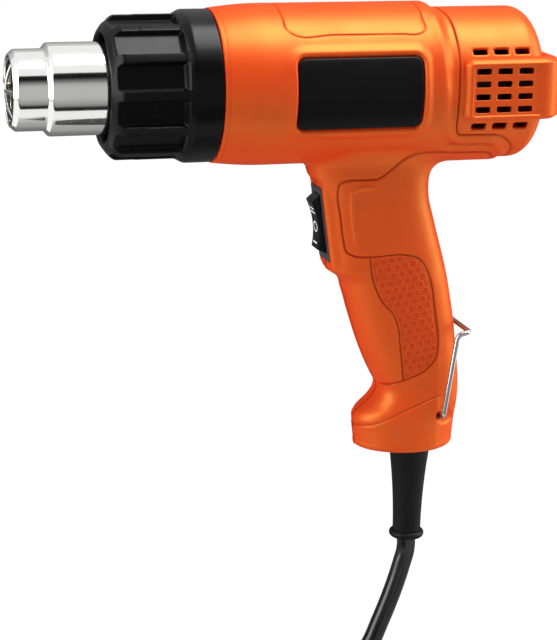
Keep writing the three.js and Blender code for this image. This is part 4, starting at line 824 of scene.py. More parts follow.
def barrel_grid():
    """Places along the barrel, how far its edges are rolled in there, the share of the radius that
    is left on the closing disc, and the angles. Both grids pass through the slots' edges."""
    x = grid_lines([-87.0, -85.0, -58.0, -55.5, -4.2, -1.6, 6.0, 16.0, 19.0, *SLOT_ENDS], 0.8)
    x = with_finer(x, ((-61.05, -55), (-3.05, 2.0), (12.05, 15.2)), 0.33)
    edge_x = REAR_END_X - REAR_EDGE
    edge = edge_x + REAR_EDGE * np.sin(np.linspace(0, math.pi / 2, 18)[1:])
    disc = np.linspace(0.86, 0.0, 8)
    x = np.concatenate([LIP_X, x, edge[edge > SLOT_ENDS[-1] + 0.3], np.full(len(disc), REAR_END_X)])
    rolled = REAR_EDGE - np.sqrt(np.maximum(REAR_EDGE ** 2 - (x - edge_x) ** 2, 0))
    sunk = np.where(x > edge_x, rolled, 0.0)
    sunk[:len(LIP_X)] = LIP_SUNK
    share = np.ones(len(x))
    share[-len(disc):] = disc
    angles = grid_lines([-90, *SLOT_LOWER, -2.0, 2.0, *SLOT_UPPER, 90], 1.25)
    angles = np.radians(with_finer(angles, ((42.4, 46.7), (-36.8, -33.4)), 0.4))
    return x, sunk, share, np.concatenate([angles[:1], angles, angles[-1:]])


def barrel_skin(left):
    """Half barrel on a grid of places by angles: point = (x, r cos, r sin) of the radius less its
    rolled edge, with the slots' corners drawn in. Gives points, kept faces and marks of painted
    shade."""
    x, sunk, share, angles = barrel_grid()
    X, PHI = np.meshgrid(x, angles, indexing="ij")
    corners = np.ix_(nearest(x, SLOT_ENDS), nearest(angles, np.radians([*SLOT_LOWER, *SLOT_UPPER])))
    X[corners] += 0.35 * np.tile([1, -1], 3)[:, None]
    PHI[corners] += np.radians(0.6) * np.tile([1, -1], 2)
    R = barrel_radius(X, PHI)
    relief, mark = barrel_relief(X, PHI, R, left)
    r = (R - sunk[:, None] + relief) * share[:, None]
    r[:, [0, -1]] -= 0.35
    points = on_barrel(X, r, PHI)
    points[..., 1] = np.minimum(points[..., 1], -SEAM)

    saddle, saddle_painted_shade = grip_relief(points)
    use = smoothstep(76.0, 73.0, points[..., 2]) * smoothstep(2.0, 6.0, X)
    normals, outwards = grid_normals(points), (points - (0, 0, AXIS_Z)) * (0, 1, 1)
    way = np.sign(np.sum(normals * outwards, -1, keepdims=True))
    points = points + normals * (saddle * use)[..., None] * way
    mark = np.maximum(mark, saddle_painted_shade * use)

    mid_x, mid_phi = (X[1:, 1:] + X[:-1, :-1]) / 2, np.degrees((PHI[1:, 1:] + PHI[:-1, :-1]) / 2)
    mid_z = R[1:, 1:] * np.sin(np.radians(mid_phi))
    low, high = BAND_OPENING_X
    keep = ~((mid_x > low) & (mid_x < high) & (np.abs(mid_z) < BAND_OPENING_HALF))
    for place in SLOT_X:
        for low, high in (SLOT_LOWER, SLOT_UPPER):
            column = np.abs(mid_x - place) < SLOT_LONG / 2
            keep &= ~(column & (mid_phi > low) & (mid_phi < high))
    if not left:
        points = mirrored(points)
        keep &= clear_of_screws(mid_x, points[1:, 1:], SCREWS[:BARREL_SCREWS])
    return points, keep, mark


def handle_section(z):
    """Front, rear and half width of the grip at a height, each a cubic through its stations."""
    return [through(HANDLE_Z, values, z) for values in (HANDLE_FRONT, HANDLE_REAR, HANDLE_HALF)]


def handle_point(z, turn):
    """Point of the grip's level section at a height and a turn. The section is a superellipse whose
    power changes with height."""
    front, rear, half = handle_section(z)
    power = 2 / np.interp(z, HANDLE_Z, HANDLE_POWER)
    c, s = np.cos(turn), np.sin(turn)
    x = (front + rear) / 2 + (rear - front) / 2 * np.sign(c) * np.abs(c) ** power
    return places(x, -half * np.abs(s) ** power, z)


def barrel_foot(x, y):
    """Point of the barrel's underside over (x, y): angle and radius settle in four rounds."""
    r = np.full(np.shape(x), BODY_R)
    for _ in range(4):
        phi = -np.arccos(np.clip(np.abs(y) / r, 0.0, 1.0))
        r = barrel_radius(x, phi)
    return places(x, y, AXIS_Z + r * np.sin(phi))


def handle_turns():
    """Turns round half of the grip's section, from the front to the rear, and their cosine and sine
    to the section's power. They lie closer together on the side that bears the pad."""
    dense = np.linspace(0, math.pi, 2001)
    c, s = np.cos(dense), np.sin(dense)
    c, s = np.sign(c) * np.abs(c) ** (2 / GRIP_POWER), np.abs(s) ** (2 / GRIP_POWER)
    run = run_along(places(c * 23.5, s * 16.8))
    at = np.concatenate([np.linspace(0, 14, 26)[:-1], np.linspace(14, 52, 116)[:-1],
                         np.linspace(52, run[-1], 36)])
    turn = math.pi - np.interp(at, run, dense)[::-1]
    return turn, -np.interp(at, run, c)[::-1], np.interp(at, run, s)[::-1]


def handle_skin():
    """Left half of the grip. Rows spread over the base and climb the stations, and a quadratic arc
    turns each column out onto the barrel. Gives points and marks: painted shade above nought, the
    pad below it."""
    turn, c, s = handle_turns()
    low = grid_lines([-66.3, -65.6, -63.5, -53, -46], 0.5)
    z = np.concatenate([low[:-1], grid_lines([-46, -34, 25.5, GRIP_TOP_Z], 0.36)])
    body = handle_point(z[:, None], turn[None, :])
    under = np.linspace(0.3, 0.985, 9)[:, None, None]
    floor = body[:1] * under + np.array([CORD_X, 0, BASE_Z]) * (1 - under)

    corner = handle_point(np.full((1, len(c)), SADDLE_Z), turn[None, :])[0]
    corner = barrel_foot(corner[:, 0], corner[:, 1])
    reach = 8.5 - 4.2 * smoothstep(0.35, 0.98, -c) + 0.5 * smoothstep(0.2, 0.95, c)
    t = np.linspace(0, 1, 30)[1:, None]
    upper = handle_point(GRIP_TOP_Z + (corner[:, 2] - reach - GRIP_TOP_Z) * t, turn[None, :])
    out = places(np.sign(c) * np.abs(c) ** 1.8 / 24.0, -np.abs(s) ** 1.8 / 17.0)
    out /= np.linalg.norm(out, axis=1, keepdims=True)
    grown = corner[:, :2] + out * reach[:, None]
    land = barrel_foot(grown[:, 0], np.minimum(grown[:, 1], 0.0))
    w = np.linspace(0, 1, 26)[1:, None, None]
    arc = (1 - w) ** 2 * upper[-1] + 2 * w * (1 - w) * corner + w * w * land
    over = barrel_foot(land[:, 0] + out[:, 0] * 1.2, np.minimum(land[:, 1] + out[:, 1] * 1.2, 0.0))
    over[:, 2] += 0.6
    points = np.concatenate([floor, body, upper, arc, over[None]])

    seat = to_switch(points)
    aside, along = np.abs(seat[..., 1]), np.abs(seat[..., 2])
    near = smoothstep(12.0, 8.6, aside) * smoothstep(22.0, 18.0, along)
    push = (0.5 - seat[..., 0]) * (near * (seat[..., 0] < 7.0))
    points = points + push[..., None] * np.array([math.cos(SWITCH[2]), 0.0, math.sin(SWITCH[2])])

    relief, mark = grip_relief(points)
    normals = grid_normals(points)
    outwards = np.sum(normals * (points - (5, 0, 0)) * (1, 1, 0), -1, keepdims=True)
    normals *= np.sign(outwards + 1e-9)
    normals[:len(floor)] = (0, 0, -1)
    relief[:len(floor) + 1] = 0.0
    points = points + normals * relief[..., None]
    inner = points[:, [0, -1]] + np.array([[0.45, 0, 0], [-0.45, 0, 0]])
    points = np.concatenate([inner[:, :1], points, inner[:, 1:]], 1)
    points[..., 1] = np.minimum(points[..., 1], -SEAM)
    return points, np.concatenate([mark[:, :1], mark, mark[:, -1:]], 1)


def in_switch(points):
    """Points of the switch's own frame, where -X is out of the grip, turned and moved into the
    tool's frame."""
    x, z, tilt = SWITCH
    c, s = math.cos(tilt), math.sin(tilt)
    p = np.asarray(points, float)
    return places(x + p[..., 0] * c - p[..., 2] * s, p[..., 1], z + p[..., 0] * s + p[..., 2] * c)


def to_switch(points):
    """Points of the tool's frame in the switch's own frame."""
    x, z, tilt = SWITCH
    c, s = math.cos(tilt), math.sin(tilt)
    dx, dz = points[..., 0] - x, points[..., 2] - z
    return places(dx * c + dz * s, points[..., 1], dz * c - dx * s)


def handle_keep(points):
    """Faces of the grip's skin that stay: those clear of the switch's well."""
    mid = to_switch((points[1:, 1:] + points[:-1, :-1]) / 2)
    in_well = (np.abs(mid[..., 1]) < 7.1) & (np.abs(mid[..., 2]) < 16.0) & (mid[..., 0] < 9.0)
    return ~in_well


def band_skin():
    """Left half of the intake band. Points run along the line of its plan and up its height. Each
    is sunk by a depth that follows its distance from the band's rounded outline: wall, bevel, thin
    lip and the flat panel with the slots. Gives points and kept faces."""
    half, corner, h = BAND_HALF_W, BAND_CORNER, BAND_HALF_H
    bend = BAND_REAR_X - corner
    long = grid_lines([BAND_FRONT_X - 0.3, 16.2, 20.2, *SLOT_ENDS, 48.6, bend], 0.45)
    arc = bend + corner * np.linspace(0, math.pi / 2, 30)[1:]
    end = arc[-1] + np.linspace(0, half - corner - SEAM, 26)[1:]
    s = np.concatenate([long, arc, end])
    z = grid_lines([-h, 0.5 - h, 3.4 - h, *SLOT_EDGES, h - 3.4, h - 0.5, h], 0.34)
    a = np.clip((s - bend) / corner, 0, math.pi / 2)
    plan = places(np.minimum(s, bend) + corner * np.sin(a),
                  -half + corner * (1 - np.cos(a)) + np.maximum(s - arc[-1], 0))
    out = places(np.sin(a), -np.cos(a))

    S, Z = np.meshgrid(s, z, indexing="ij")
    along = S - BAND_FRONT_X
    across = 0.75 * np.minimum(along, 4.8) + np.maximum(along - 4.8, 0)
    deep = -round_box(across - 100, Z, 100, h, 3.3)
    sunk = np.interp(deep, [-0.5, 0.0, 0.35, 1.4, 1.9, 2.4], [8.0, 6.5, 2.0, 0.35, -0.3, -0.3])
    sunk += 0.65 * smoothstep(2.4, 3.0, deep) * smoothstep(50.4, 49.2, S)
    sunk += 0.3 * bump(S - 50.6, 0.6) * smoothstep(1.0, 2.4, deep)
    sides = plan[:, None] - out[:, None] * sunk[..., None]
    points = places(sides[..., 0], sides[..., 1], AXIS_Z + Z)
    points[np.ix_(nearest(s, SLOT_ENDS), nearest(z, SLOT_EDGES))] += 0.4 * places(
        np.tile([1.0, -1.0], 3)[:, None], 0.0, np.tile([1.0, -1.0], 4)[None, :])
    points[..., 1] = np.minimum(points[..., 1], -SEAM)
    points = np.concatenate([points, points[-1:] - (0.4, 0, 0)])

    mid_s, mid_z = (s[1:] + s[:-1])[:, None] / 2, (z[1:] + z[:-1])[None, :] / 2
    keep = np.ones((len(s), len(z) - 1), bool)
    for place in SLOT_X:
        for height in SLOT_Z:
            column = np.abs(mid_s - place) < SLOT_LONG / 2
            row = np.abs(mid_z - height) < SLOT_HIGH / 2
            keep[:-1] &= ~(column & row)
    return points, keep


def looks_away(points, towards, keep=...):
    """True if the grid's kept faces look away from a direction, given once or at each point."""
    n = np.cross(points[1:, :-1] - points[:-1, :-1], points[:-1, 1:] - points[:-1, :-1])
    return not np.sum((n * np.broadcast_to(towards, points.shape)[:-1, :-1])[keep]) > 0


def mirrored(points):
    """The points of the other half."""
    return points * np.array([1.0, -1.0, 1.0])


class OBJECT_OT_hot_air_camera(bpy.types.Operator):
    """Sets the camera at the photograph's place, turn and lens"""

    bl_idname = "object.hot_air_camera"
    bl_label = "Camera"

    def execute(self, context):
        az, el, roll = (math.radians(a) for a in (-15.734, 15.22, 0.978))
        level = Vector((math.cos(az), math.sin(az), 0.0))
        back = Vector((math.sin(az) * math.cos(el), -math.cos(az) * math.cos(el), math.sin(el)))
        rise = back.cross(level)
        right = math.cos(roll) * level + math.sin(roll) * rise
        up = math.cos(roll) * rise - math.sin(roll) * level
        data = bpy.data.cameras.new("camera")
        data.sensor_fit, data.sensor_width = "HORIZONTAL", 36.0
        data.lens = context.scene.hot_air_stage.lens
        data.clip_start, data.clip_end = 0.05, 50.0
        camera = link("camera", data)
        turn = Matrix((right, up, back)).transposed().to_4x4()
        camera.matrix_world = Matrix.Translation(Vector(EYE) * MM) @ turn
        context.scene.camera = camera
        return {"FINISHED"}


def cord_route():
    """Route of the lead: the hanging drop, a flat spiral on the floor that winds in, steps up a
    layer and winds out, and the tail to the plug. Also gives the tail's Y."""
    low, top = CORD_LOW, CORD_LOW + COIL_PITCH
    drop = [(CORD_X, GUARD_END_Z + 1.2), (8.25, -114.5), (8.3, -116.5), (7.9, -120.7),
            (6.9, -124.5), (4.7, -132.3), (2.2, -140), (-0.6, -147.7), (-3.7, -155.5),
            (-6.8, -163.2), (-10.8, -170), (-17, -175.8), (-25.5, -178.9), (-34, low), (-44, low),
            (-53, low), (-63, low)]
    drop = smooth_line([(x, 0, z) for x, z in drop], 6)
    half = COIL_TURNS / 2
    t = np.linspace(0, COIL_TURNS, 339)
    r = COIL_INNER_R + COIL_PITCH * (np.hypot(t - half, COIL_EASE) - COIL_EASE)
    a = math.pi / 2 + 2 * math.pi * t
    centre = -(COIL_INNER_R + COIL_PITCH * (math.hypot(half, COIL_EASE) - COIL_EASE))
    rise = COIL_PITCH * smoothstep(3.0, 3.5, t)
    coil = places(COIL_X + r * np.cos(a), centre + r * np.sin(a), low + rise)
    y = coil[-1, 1]
    tail = [(-63, top), (-54, top), (-44, -170.9), (-28, -175.8), (-10, PLUG_Z), (9.0, PLUG_Z)]
    tail = smooth_line([(x, y, z) for x, z in tail], 6)
    return np.concatenate([drop, coil, tail]), y


class OBJECT_OT_hot_air_lead(bpy.types.Operator):
    """Makes the mains lead with its coil, tie, plug and pins"""

    bl_idname = "object.hot_air_lead"
    bl_label = "Mains lead"

    def execute(self, context):
        """Rings carried along the route; their first spoke turns from across to up at the coil."""
        path, y = cord_route()
        radius = sizes().cord_radius / MM
        turn = np.maximum.accumulate(smoothstep(-40.0, -62.0, path[:, 0])[:, None])
        lead = (1 - turn) * np.array([0, 1.0, 0]) + turn * np.array([0, 0, 1.0])
        cord = solid("mains_lead", capped(swept(path, radius, 18, lead), path[0], path[-1]),
                     "cord_sheath", "cord", "cord_drop", "cord_coil", "cord_tail", crease=60)
        inner = places(CORD_X, 0.0, np.linspace(GUARD_END_Z + 1.0, -25.0, 40))
        rings = swept(inner, radius - 0.02, 18, (0, 1.0, 0))
        solid("lead_in_grip", capped(rings, inner[0], inner[-1]), "cord_sheath", "cord",
              "cord_inner", crease=60)
        plug, pins, tie = self.plug(y), self.pins(y), self.tie()
        return {"FINISHED"}

    def plug(self, y):
        """Superellipse sections along X: the half width and height swell from the neck to the face,
        less a cosine for the grip rings and a quarter round for the edge."""
        sides, edge_x, round_r = 56, 44.0, 1.2
        x = np.concatenate([np.linspace(PLUG_BACK_X, 24.0, 60), np.linspace(24.0, 45.2, 40)[1:]])
        wide = 6.4 + 7.1 * smoothstep(14.0, 31.0, x)
        high = 6.2 + 1.3 * smoothstep(12.0, 26.0, x)
        rings = 0.45 * (0.5 - 0.5 * np.cos((x - 9.0) * 2 * math.pi / 3.0))
        rings = rings * smoothstep(21.5, 19.5, x) * smoothstep(8.4, 9.6, x)
        edge = 1 - np.sqrt(np.clip(1 - ((x - edge_x) / round_r) ** 2, 0, 1))
        less = rings + round_r * edge * (x > edge_x)
        power = np.interp(x, [8, 24, 32], [1.0, 0.75, 0.55])[:, None]
        c, s = np.cos(full_turn(sides)), np.sin(full_turn(sides))
        u = np.sign(c) * np.abs(c) ** power * (wide - less)[:, None]
        v = np.sign(s) * np.abs(s) ** power * (high - less)[:, None]
        body = places(x[:, None], u, v)
        face = body[-1:] * (0.94, 0.95, 0.95) + (PLUG_FACE_X - 45.2 * 0.94, 0, 0)
        grid = capped(np.concatenate([body, face]), (PLUG_BACK_X, 0, 0), (PLUG_FACE_X, 0, 0))
        return solid("plug_moulding", grid + (0, y, PLUG_Z), "plug_rubber", "plug", "plug_body",
                     crease=50)

    def pins(self, y):
        """Round pins turned from a profile with a vinyl sleeve, a bare tip and a rounded end."""
        bare_r, ball_r, end_x = 2.05, 2.3, 65.2
        a = np.linspace(0, math.pi / 2, 8)
        tip = places(end_x - ball_r + ball_r * np.sin(a), ball_r * np.cos(a) * bare_r / ball_r)
        bare = np.concatenate([[(54.8, 0), (54.8, bare_r)], tip])
        sleeve = [(44.0, 0), (44.0, 2.35), (54.9, 2.35), (55.0, 2.2), (55.0, 0)]
        made = []
        for k, side in enumerate((-1, 1), 1):
            centre = (0, y + side * PIN_APART, PLUG_Z)
            skin = Skin(f"plug_pin_metal_{k}")
            skin.add(turned(bare, 24, centre), close_columns=True)
            skin.add(turned(sleeve, 24, centre), close_columns=True, group=1)
            made.append(skin.make("tool", "brass", "pin plug", f"plug_pin_{k}", crease=40))
        return made

    def tie(self):
        """Strap round both layers: a rounded loop in the coil's section, given a thin flat section
        across it."""
        lo, hi = (np.array(corner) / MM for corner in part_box("cord_tie"))
        mid, (half_x, wide, half_z) = (lo + hi) / 2, (hi - lo) / 2
        outer = rounded_loop(half_x, half_z, 4.2, 10)
        inner = rounded_loop(half_x - 0.8, half_z - 0.8, 3.4, 10)
        section = np.array([(0.06, wide - 0.25), (0.0, wide - 0.5), (0.0, 0.5 - wide),
                            (0.06, 0.25 - wide), (0.35, -wide), (0.65, -wide), (1.0, 0.3 - wide),
                            (1.0, wide - 0.3), (0.65, wide), (0.35, wide)])
        share, across = section[:, :1], section[:, 1:]
        loop = outer * (1 - share[..., None]) + inner * share[..., None]
        grid = places(mid[0] + loop[..., 0], mid[1] + across, mid[2] + loop[..., 1])
        return solid("coil_tie", grid, "tie_plastic", "tie", "cord_tie", rows=True, crease=50)


class OBJECT_OT_hot_air_shell(bpy.types.Operator):
    """Makes the moulded body: barrel halves, grip halves and the two halves of the intake band"""

    bl_idname = "object.hot_air_shell"
    bl_label = "Moulded body"

    def execute(self, context):
        grip, grip_mark = handle_skin()
        grip_keep = handle_keep(grip)
        band, band_keep = band_skin()
        wall = sizes().wall / MM
        for side, left in (("left", True), ("right", False)):
            barrel, keep, mark = barrel_skin(left)
            self.skin(side, "barrel", barrel, keep, barrel - (-15, 0, AXIS_Z), mark, wall)
            points, keep = grip, grip_keep
            if not left:
                points = mirrored(grip)
                mid = points[1:, 1:]
                keep = grip_keep & clear_of_screws(mid[..., 0], mid, SCREWS[BARREL_SCREWS:])
            self.skin(side, "grip", points, keep, points * (1, 1, 0), grip_mark)
            points = band if left else mirrored(band)
            self.skin(side, "intake_band", points, band_keep, points - (20, 0, AXIS_Z), wall=wall)
        self.wells()
        return {"FINISHED"}

    def skin(self, side, name, points, keep, outwards, mark=None, wall=0.0):
        """One skin of a half, with its faces turned outwards."""
        flip = looks_away(points, outwards, keep)
        Skin(f"{side}_{name}").add(points, keep=keep, mark=mark, flip=flip).make(
            "tool", "orange_shell", "shell", f"{side}_shell", closed=False, wall=wall)

    def wells(self):
        """Screw wells of the right side: a ring that lies on the skin, rolled over into a bore to
        the head. Y comes from the barrel's circle or the grip's superellipse at each place."""
        radii = np.array([4.3, 4.0, 3.7, 3.45, 3.3, 3.2, 3.2, 3.2])[:, None]
        lift = np.array([-0.5, 0.06, 0.14, 0.1, -0.15, -0.6, -1.0, -1.0])[:, None]
        turn = full_turn(32)
        for k, (screw_x, screw_z) in enumerate(SCREWS):
            x, z = screw_x + radii * np.cos(turn), screw_z + radii * np.sin(turn)
            if k < BARREL_SCREWS:
                rise, r = z - AXIS_Z, BODY_R
                for _ in range(2):
                    r = barrel_radius(x, np.arcsin(np.clip(rise / r, -1, 1)))
                y = np.sqrt(np.maximum(r ** 2 - rise ** 2, 1.0))
            else:
                front, rear, half = handle_section(z)
                u = np.clip(np.abs(x - (front + rear) / 2) / ((rear - front) / 2), 0, 1)
                y = half * (1 - u ** GRIP_POWER) ** (1 / GRIP_POWER)
            y = y + lift
            y[-1] = SCREW_HEAD_Y
            y[-2] = np.minimum(y[-2], y[-3].min() - 0.5)
            points = places(x, y, z)
            flip = looks_away(points, (0.0, 1.0, 0.0))
            Skin(f"screw_well_{k + 1}").add(points, close_columns=True, flip=flip).make(
                "tool", "orange_shell", "shell", "right_shell", closed=False, crease=60)


class OBJECT_OT_hot_air_plate(bpy.types.Operator):
    """Makes the bare black plate on the left side"""

    bl_idname = "object.hot_air_plate"
    bl_label = "Plate"

    def execute(self, context):
        """Rounded rectangle grown from its middle, laid on a cylinder and rolled in at its rim."""
        loop = densified(rounded_loop(*BADGE_HALF, BADGE_CORNER, 14), 0.8)
        share = np.array([0.0, 0.2, 0.4, 0.6, 0.75, 0.88, 0.95, 0.975, 0.99, 1.0, 1.0])
        drop = np.array([0, 0, 0, 0, 0, 0, 0, 0.03, 0.12, 0.35, 1.1])[:, None]
        at = loop[None] * share[:, None, None]
        phi = np.arcsin(at[..., 1] / PLATE_R)
        points = on_barrel(BADGE_X + at[..., 0], PLATE_R - drop, phi)
        flip = looks_away(points, (0.0, -1.0, 0.0))
        Skin("plate").add(points, close_columns=True, flip=flip).make(
            "tool", "badge", "plate", "badge_plate", closed=False, crease=50)
        return {"FINISHED"}


class OBJECT_OT_hot_air_nozzle(bpy.types.Operator):
    """Makes the ribbed heat collar, the stepped steel tube and its domed guard"""

    bl_idname = "object.hot_air_nozzle"
    bl_label = "Collar and nozzle"

    def execute(self, context):
        self.collar()
        self.tube()
        self.guard()
        return {"FINISHED"}

    def collar(self):
        """Radius by place and turn: the lesser of a rounded nose and a section of flat panels under
        twelve ribs, which fades into a plain cone at the rear. A bell eases the nose's edge."""
        ribs, flat_r, rib_r, rear_rise, front_x, ease = 12, 27.6, 30.4, 1.8, -133.4, 0.35
        half = np.concatenate([np.linspace(0, 3.1, 5), np.linspace(3.1, 5.6, 8)[1:],
                               np.linspace(5.6, 15, 7)[1:]])
        sector = np.concatenate([-half[::-1][:-1], half[:-1]])
        turn = np.concatenate([np.radians(sector + 1.6 + 30.0 * k) for k in range(ribs)])
        alpha = np.tile(np.radians(np.abs(sector)), ribs)
        x = grid_lines([front_x, -133.0, -126.0, -104.2, -98.0, -88.4], 0.55)
        x = np.concatenate([x, [-88.1, -87.9, -87.8]])[:, None]
        flat = flat_r / np.cos(math.pi / ribs - alpha)
        section = flat + (rib_r - flat) * smoothstep(2.75, 1.75, alpha * 30.0)
        fade = smoothstep(-104.0, -101.6, x)
        cone = rib_r + rear_rise * smoothstep(-103.4, -98.6, x)
        section = section * (1 - fade) + cone * fade
        t = np.clip((x - front_x) / 6.2, 0, 1)
        nose = 24.6 + 5.9 * (1 - (1 - t) ** 1.7)
        eased = np.minimum(nose, section) - ease * bump(nose - section, ease) * 0.35
        outer = np.where(x < -120.0, eased, section)
        outer[-3:] -= np.array([0.05, 0.2, 0.6])[:, None]
        inside = np.array([(-87.8, 29.8), (-77.0, 29.8), (-77.0, 26.8), (-98.5, 26.8),
                           (-127.4, 22.6), (-132.4, 22.7), (-133.2, 23.2), (-133.5, 23.9)])
        grid = np.concatenate([on_barrel(x, outer, turn),
                               on_barrel(inside[:, :1], inside[:, 1:], turn)])
        solid("ribbed_collar", grid, "collar", "collar", "heat_collar", rows=True, crease=32)

    def tube(self):
        """Closed profile of the stepped tube turned about the barrel axis, its corners rolled."""
        profile = [(-171.2, 14.2), (-171.8, 14.25), (-172.0, 14.6), (-171.8, 15.1), (-170.0, 16.75),
                   (-169.4, 17.0), (-158.6, 17.0), (-157.9, 17.15), (-156.3, 19.1), (-155.5, 19.4),
                   (-76.5, 19.4), (-76.4, 29.0), (-75.0, 29.0), (-74.9, 19.4), (-30.0, 19.4),
                   (-30.0, 18.4), (-156.0, 18.4), (-158.0, 16.0), (-169.8, 16.0), (-169.8, 14.2)]
        grid = turned(rounded_profile(profile, 0.35), 128, (0, 0, AXIS_Z))
        solid("outlet_tube", grid, "bright_steel", "steel", "nozzle_tube", rows=True, crease=28)

    def guard(self):
        """Ring behind the lip, and two strips whose crown follows a parabola out of the outlet."""
        skin = Skin("outlet_guard")
        ring = rounded_profile([(-169.4, 15.1), (-169.4, 15.65), (-167.0, 15.65), (-167.0, 14.6),
                                (-169.4, 14.6), (-169.4, 15.1)], 0.3, 3)[:-1]
        skin.add(turned(ring, 72, (0, 0, AXIS_Z)), True, True)
        t = np.linspace(-1, 1, 61)
        middle = places(-167.7 - 5.2 * (1 - t ** 2), 15.1 * t)
        loop = rounded_loop(0.62, 0.95, 0.35, 4)
        ahead = np.gradient(middle, axis=0)
        out = places(-ahead[:, 1], ahead[:, 0]) / np.linalg.norm(ahead, axis=1, keepdims=True)
        strip = middle[:, None] + out[:, None] * loop[None, :, :1]
        across = np.broadcast_to(loop[:, 1], strip.shape[:2])
        for y, z in ((strip[..., 1], across), (across, strip[..., 1])):
            points = places(strip[..., 0], y, AXIS_Z + z)
            skin.add(capped(points, points[0].mean(0), points[-1].mean(0)), close_columns=True)
        skin.make("tool", "bright_steel", "steel", "nozzle_guard", crease=35)


class OBJECT_OT_hot_air_switch(bpy.types.Operator):
    """Makes the switch frame, the dished rocker and its printed marks"""

    bl_idname = "object.hot_air_switch"
    bl_label = "Switch"

    def execute(self, context):
        self.frame()
        self.rocker()
        self.marks()
        return {"FINISHED"}

    def frame(self):
        """Loops from the body's back to its front, out to the frame's rear edge, over the frame's
        face and down into the well. A share carries the frame's outline into the well's."""
        body = rounded_loop(6.3, 15.0, 0.8)
        outline, well = rounded_loop(7.75, 16.8, 1.0), rounded_loop(5.1, 13.4, 0.6)
        steps = ((0, 2.4), (0, 0.35), (0.02, 0.1), (0.06, 0.0), (0.9, 0.0), (0.96, 0.1), (1.0, 0.4),
                 (1.0, 5.0), (1.0, WELL_DEEP))
        loops = [(SWITCH_BACK, body), (2.4, body)]
        loops += [(depth, outline * (1 - share) + well * share) for share, depth in steps]
        rows = np.stack([places(depth, loop[:, 0], loop[:, 1]) for depth, loop in loops])
        grid = in_switch(capped(rows, (SWITCH_BACK, 0.0, 0.0), (WELL_DEEP, 0.0, 0.0)))
        solid("switch_frame", grid, "switch_plastic", "switch", "switch_body", crease=35)

    def outline(self):
        """Side outline of the rocker: a parabola for the dished face between two proud ends, which
        are struck from the pivot."""
        pivot, sweep, proud, dish = ROCKER
        angle = math.acos((pivot + proud) / sweep)
        t = np.linspace(-1, 1, 41)
        face = places(dish * (1 - t ** 2) - proud, sweep * math.sin(angle) * t)
        a = np.linspace(math.pi - angle, math.pi / 2, 12)[1:]
        upper = places(pivot + sweep * np.cos(a), sweep * np.sin(a))
        tail = [(pivot + 3.0, 3.0), (pivot + 3.0, -3.0)]
        return np.concatenate([face, upper, tail, upper[::-1] * (1, -1)])

    def rocker(self):
        """Side outline carried across the width, drawn in at both edges along a quarter round."""
        side, middle = self.outline(), np.array([4.0, 0.0])
        a = np.linspace(0, math.pi / 2, 6)
        edge = ROCKER_HALF_W - ROCKER_ROUND + ROCKER_ROUND * np.cos(a)
        inset = ROCKER_ROUND * (1 - np.sin(a))
        y, inset = np.concatenate([-edge, edge[::-1]]), np.concatenate([inset, inset[::-1]])
        share = 1 - inset[:, None] / np.linalg.norm(side - middle, axis=1)
        x = middle[0] + (side[:, 0] - middle[0]) * share
        rows = places(x, y[:, None], side[:, 1] * share)
        caps = [(middle[0], w, 0.0) for w in (-ROCKER_HALF_W, ROCKER_HALF_W)]
        solid("rocker_cap", in_switch(capped(rows, *caps)), "rocker_plastic", "rocker", "rocker",
              body="rocker", crease=40)

    def marks(self):
        """Two bars, a ring and a bar printed on the dished face, each a thin raised strip that
        follows the dish."""
        skin = Skin("rocker_marks")
        pivot, sweep, proud, dish = ROCKER
        end = math.sqrt(sweep ** 2 - (pivot + proud) ** 2)
        lift = np.array([-0.1, 0.05, 0.05, -0.1])[:, None]

        def on_face(y, z):
            return in_switch(places(dish * (1 - (z / end) ** 2) - proud - lift, y, z))

        across = np.array([-0.42, -0.36, 0.36, 0.42])[:, None]
        for z, half in ((7.2, 3.1), (5.3, 3.1), (-8.2, 2.6)):
            skin.add(on_face(np.linspace(-half, half, 12)[None, :], z + across))
        turn, radius = full_turn(40), np.array([1.7, 1.75, 2.4, 2.45])[:, None]
        ring = on_face(1.15 * radius * np.cos(turn), radius * np.sin(turn) - 1.3)
        skin.add(ring, close_columns=True)
        skin.make("rocker", "rocker_plastic", "mark", crease=30)


class OBJECT_OT_hot_air_bail(bpy.types.Operator):
    """Makes the bent wire bail on the base"""

    bl_idname = "object.hot_air_bail"
    bl_label = "Hanging bail"

    def execute(self, context):
        """Round wire carried along the bail's corners, each turned into an arc."""
        (x, z), leg_y, bend_r = PIVOT, 20.0, 3.0
        corners = [(x, leg_y - 5.4, z), (x, leg_y, z), (x + 5.4, leg_y, z + 38),
                   (x + 11.0, leg_y, z + 39)]
        bent = rounded_profile([(a, -b, c) for a, b, c in corners] + corners[::-1], bend_r, 10)
        run = run_along(bent)
        apart = np.concatenate([[True], np.diff(run) > 1e-6])
        at = np.linspace(0, run[-1], 260)
        path = np.stack([np.interp(at, run[apart], bent[apart, k]) for k in range(3)], -1)
        rings = swept(path, sizes().bail_radius / MM, 16, (-0.6, 0.0, 0.8))
        solid("bail_wire", capped(rings, path[0], path[-1]), "bright_steel", "wire", "hang_bail",
              body="bail", crease=60)
        return {"FINISHED"}


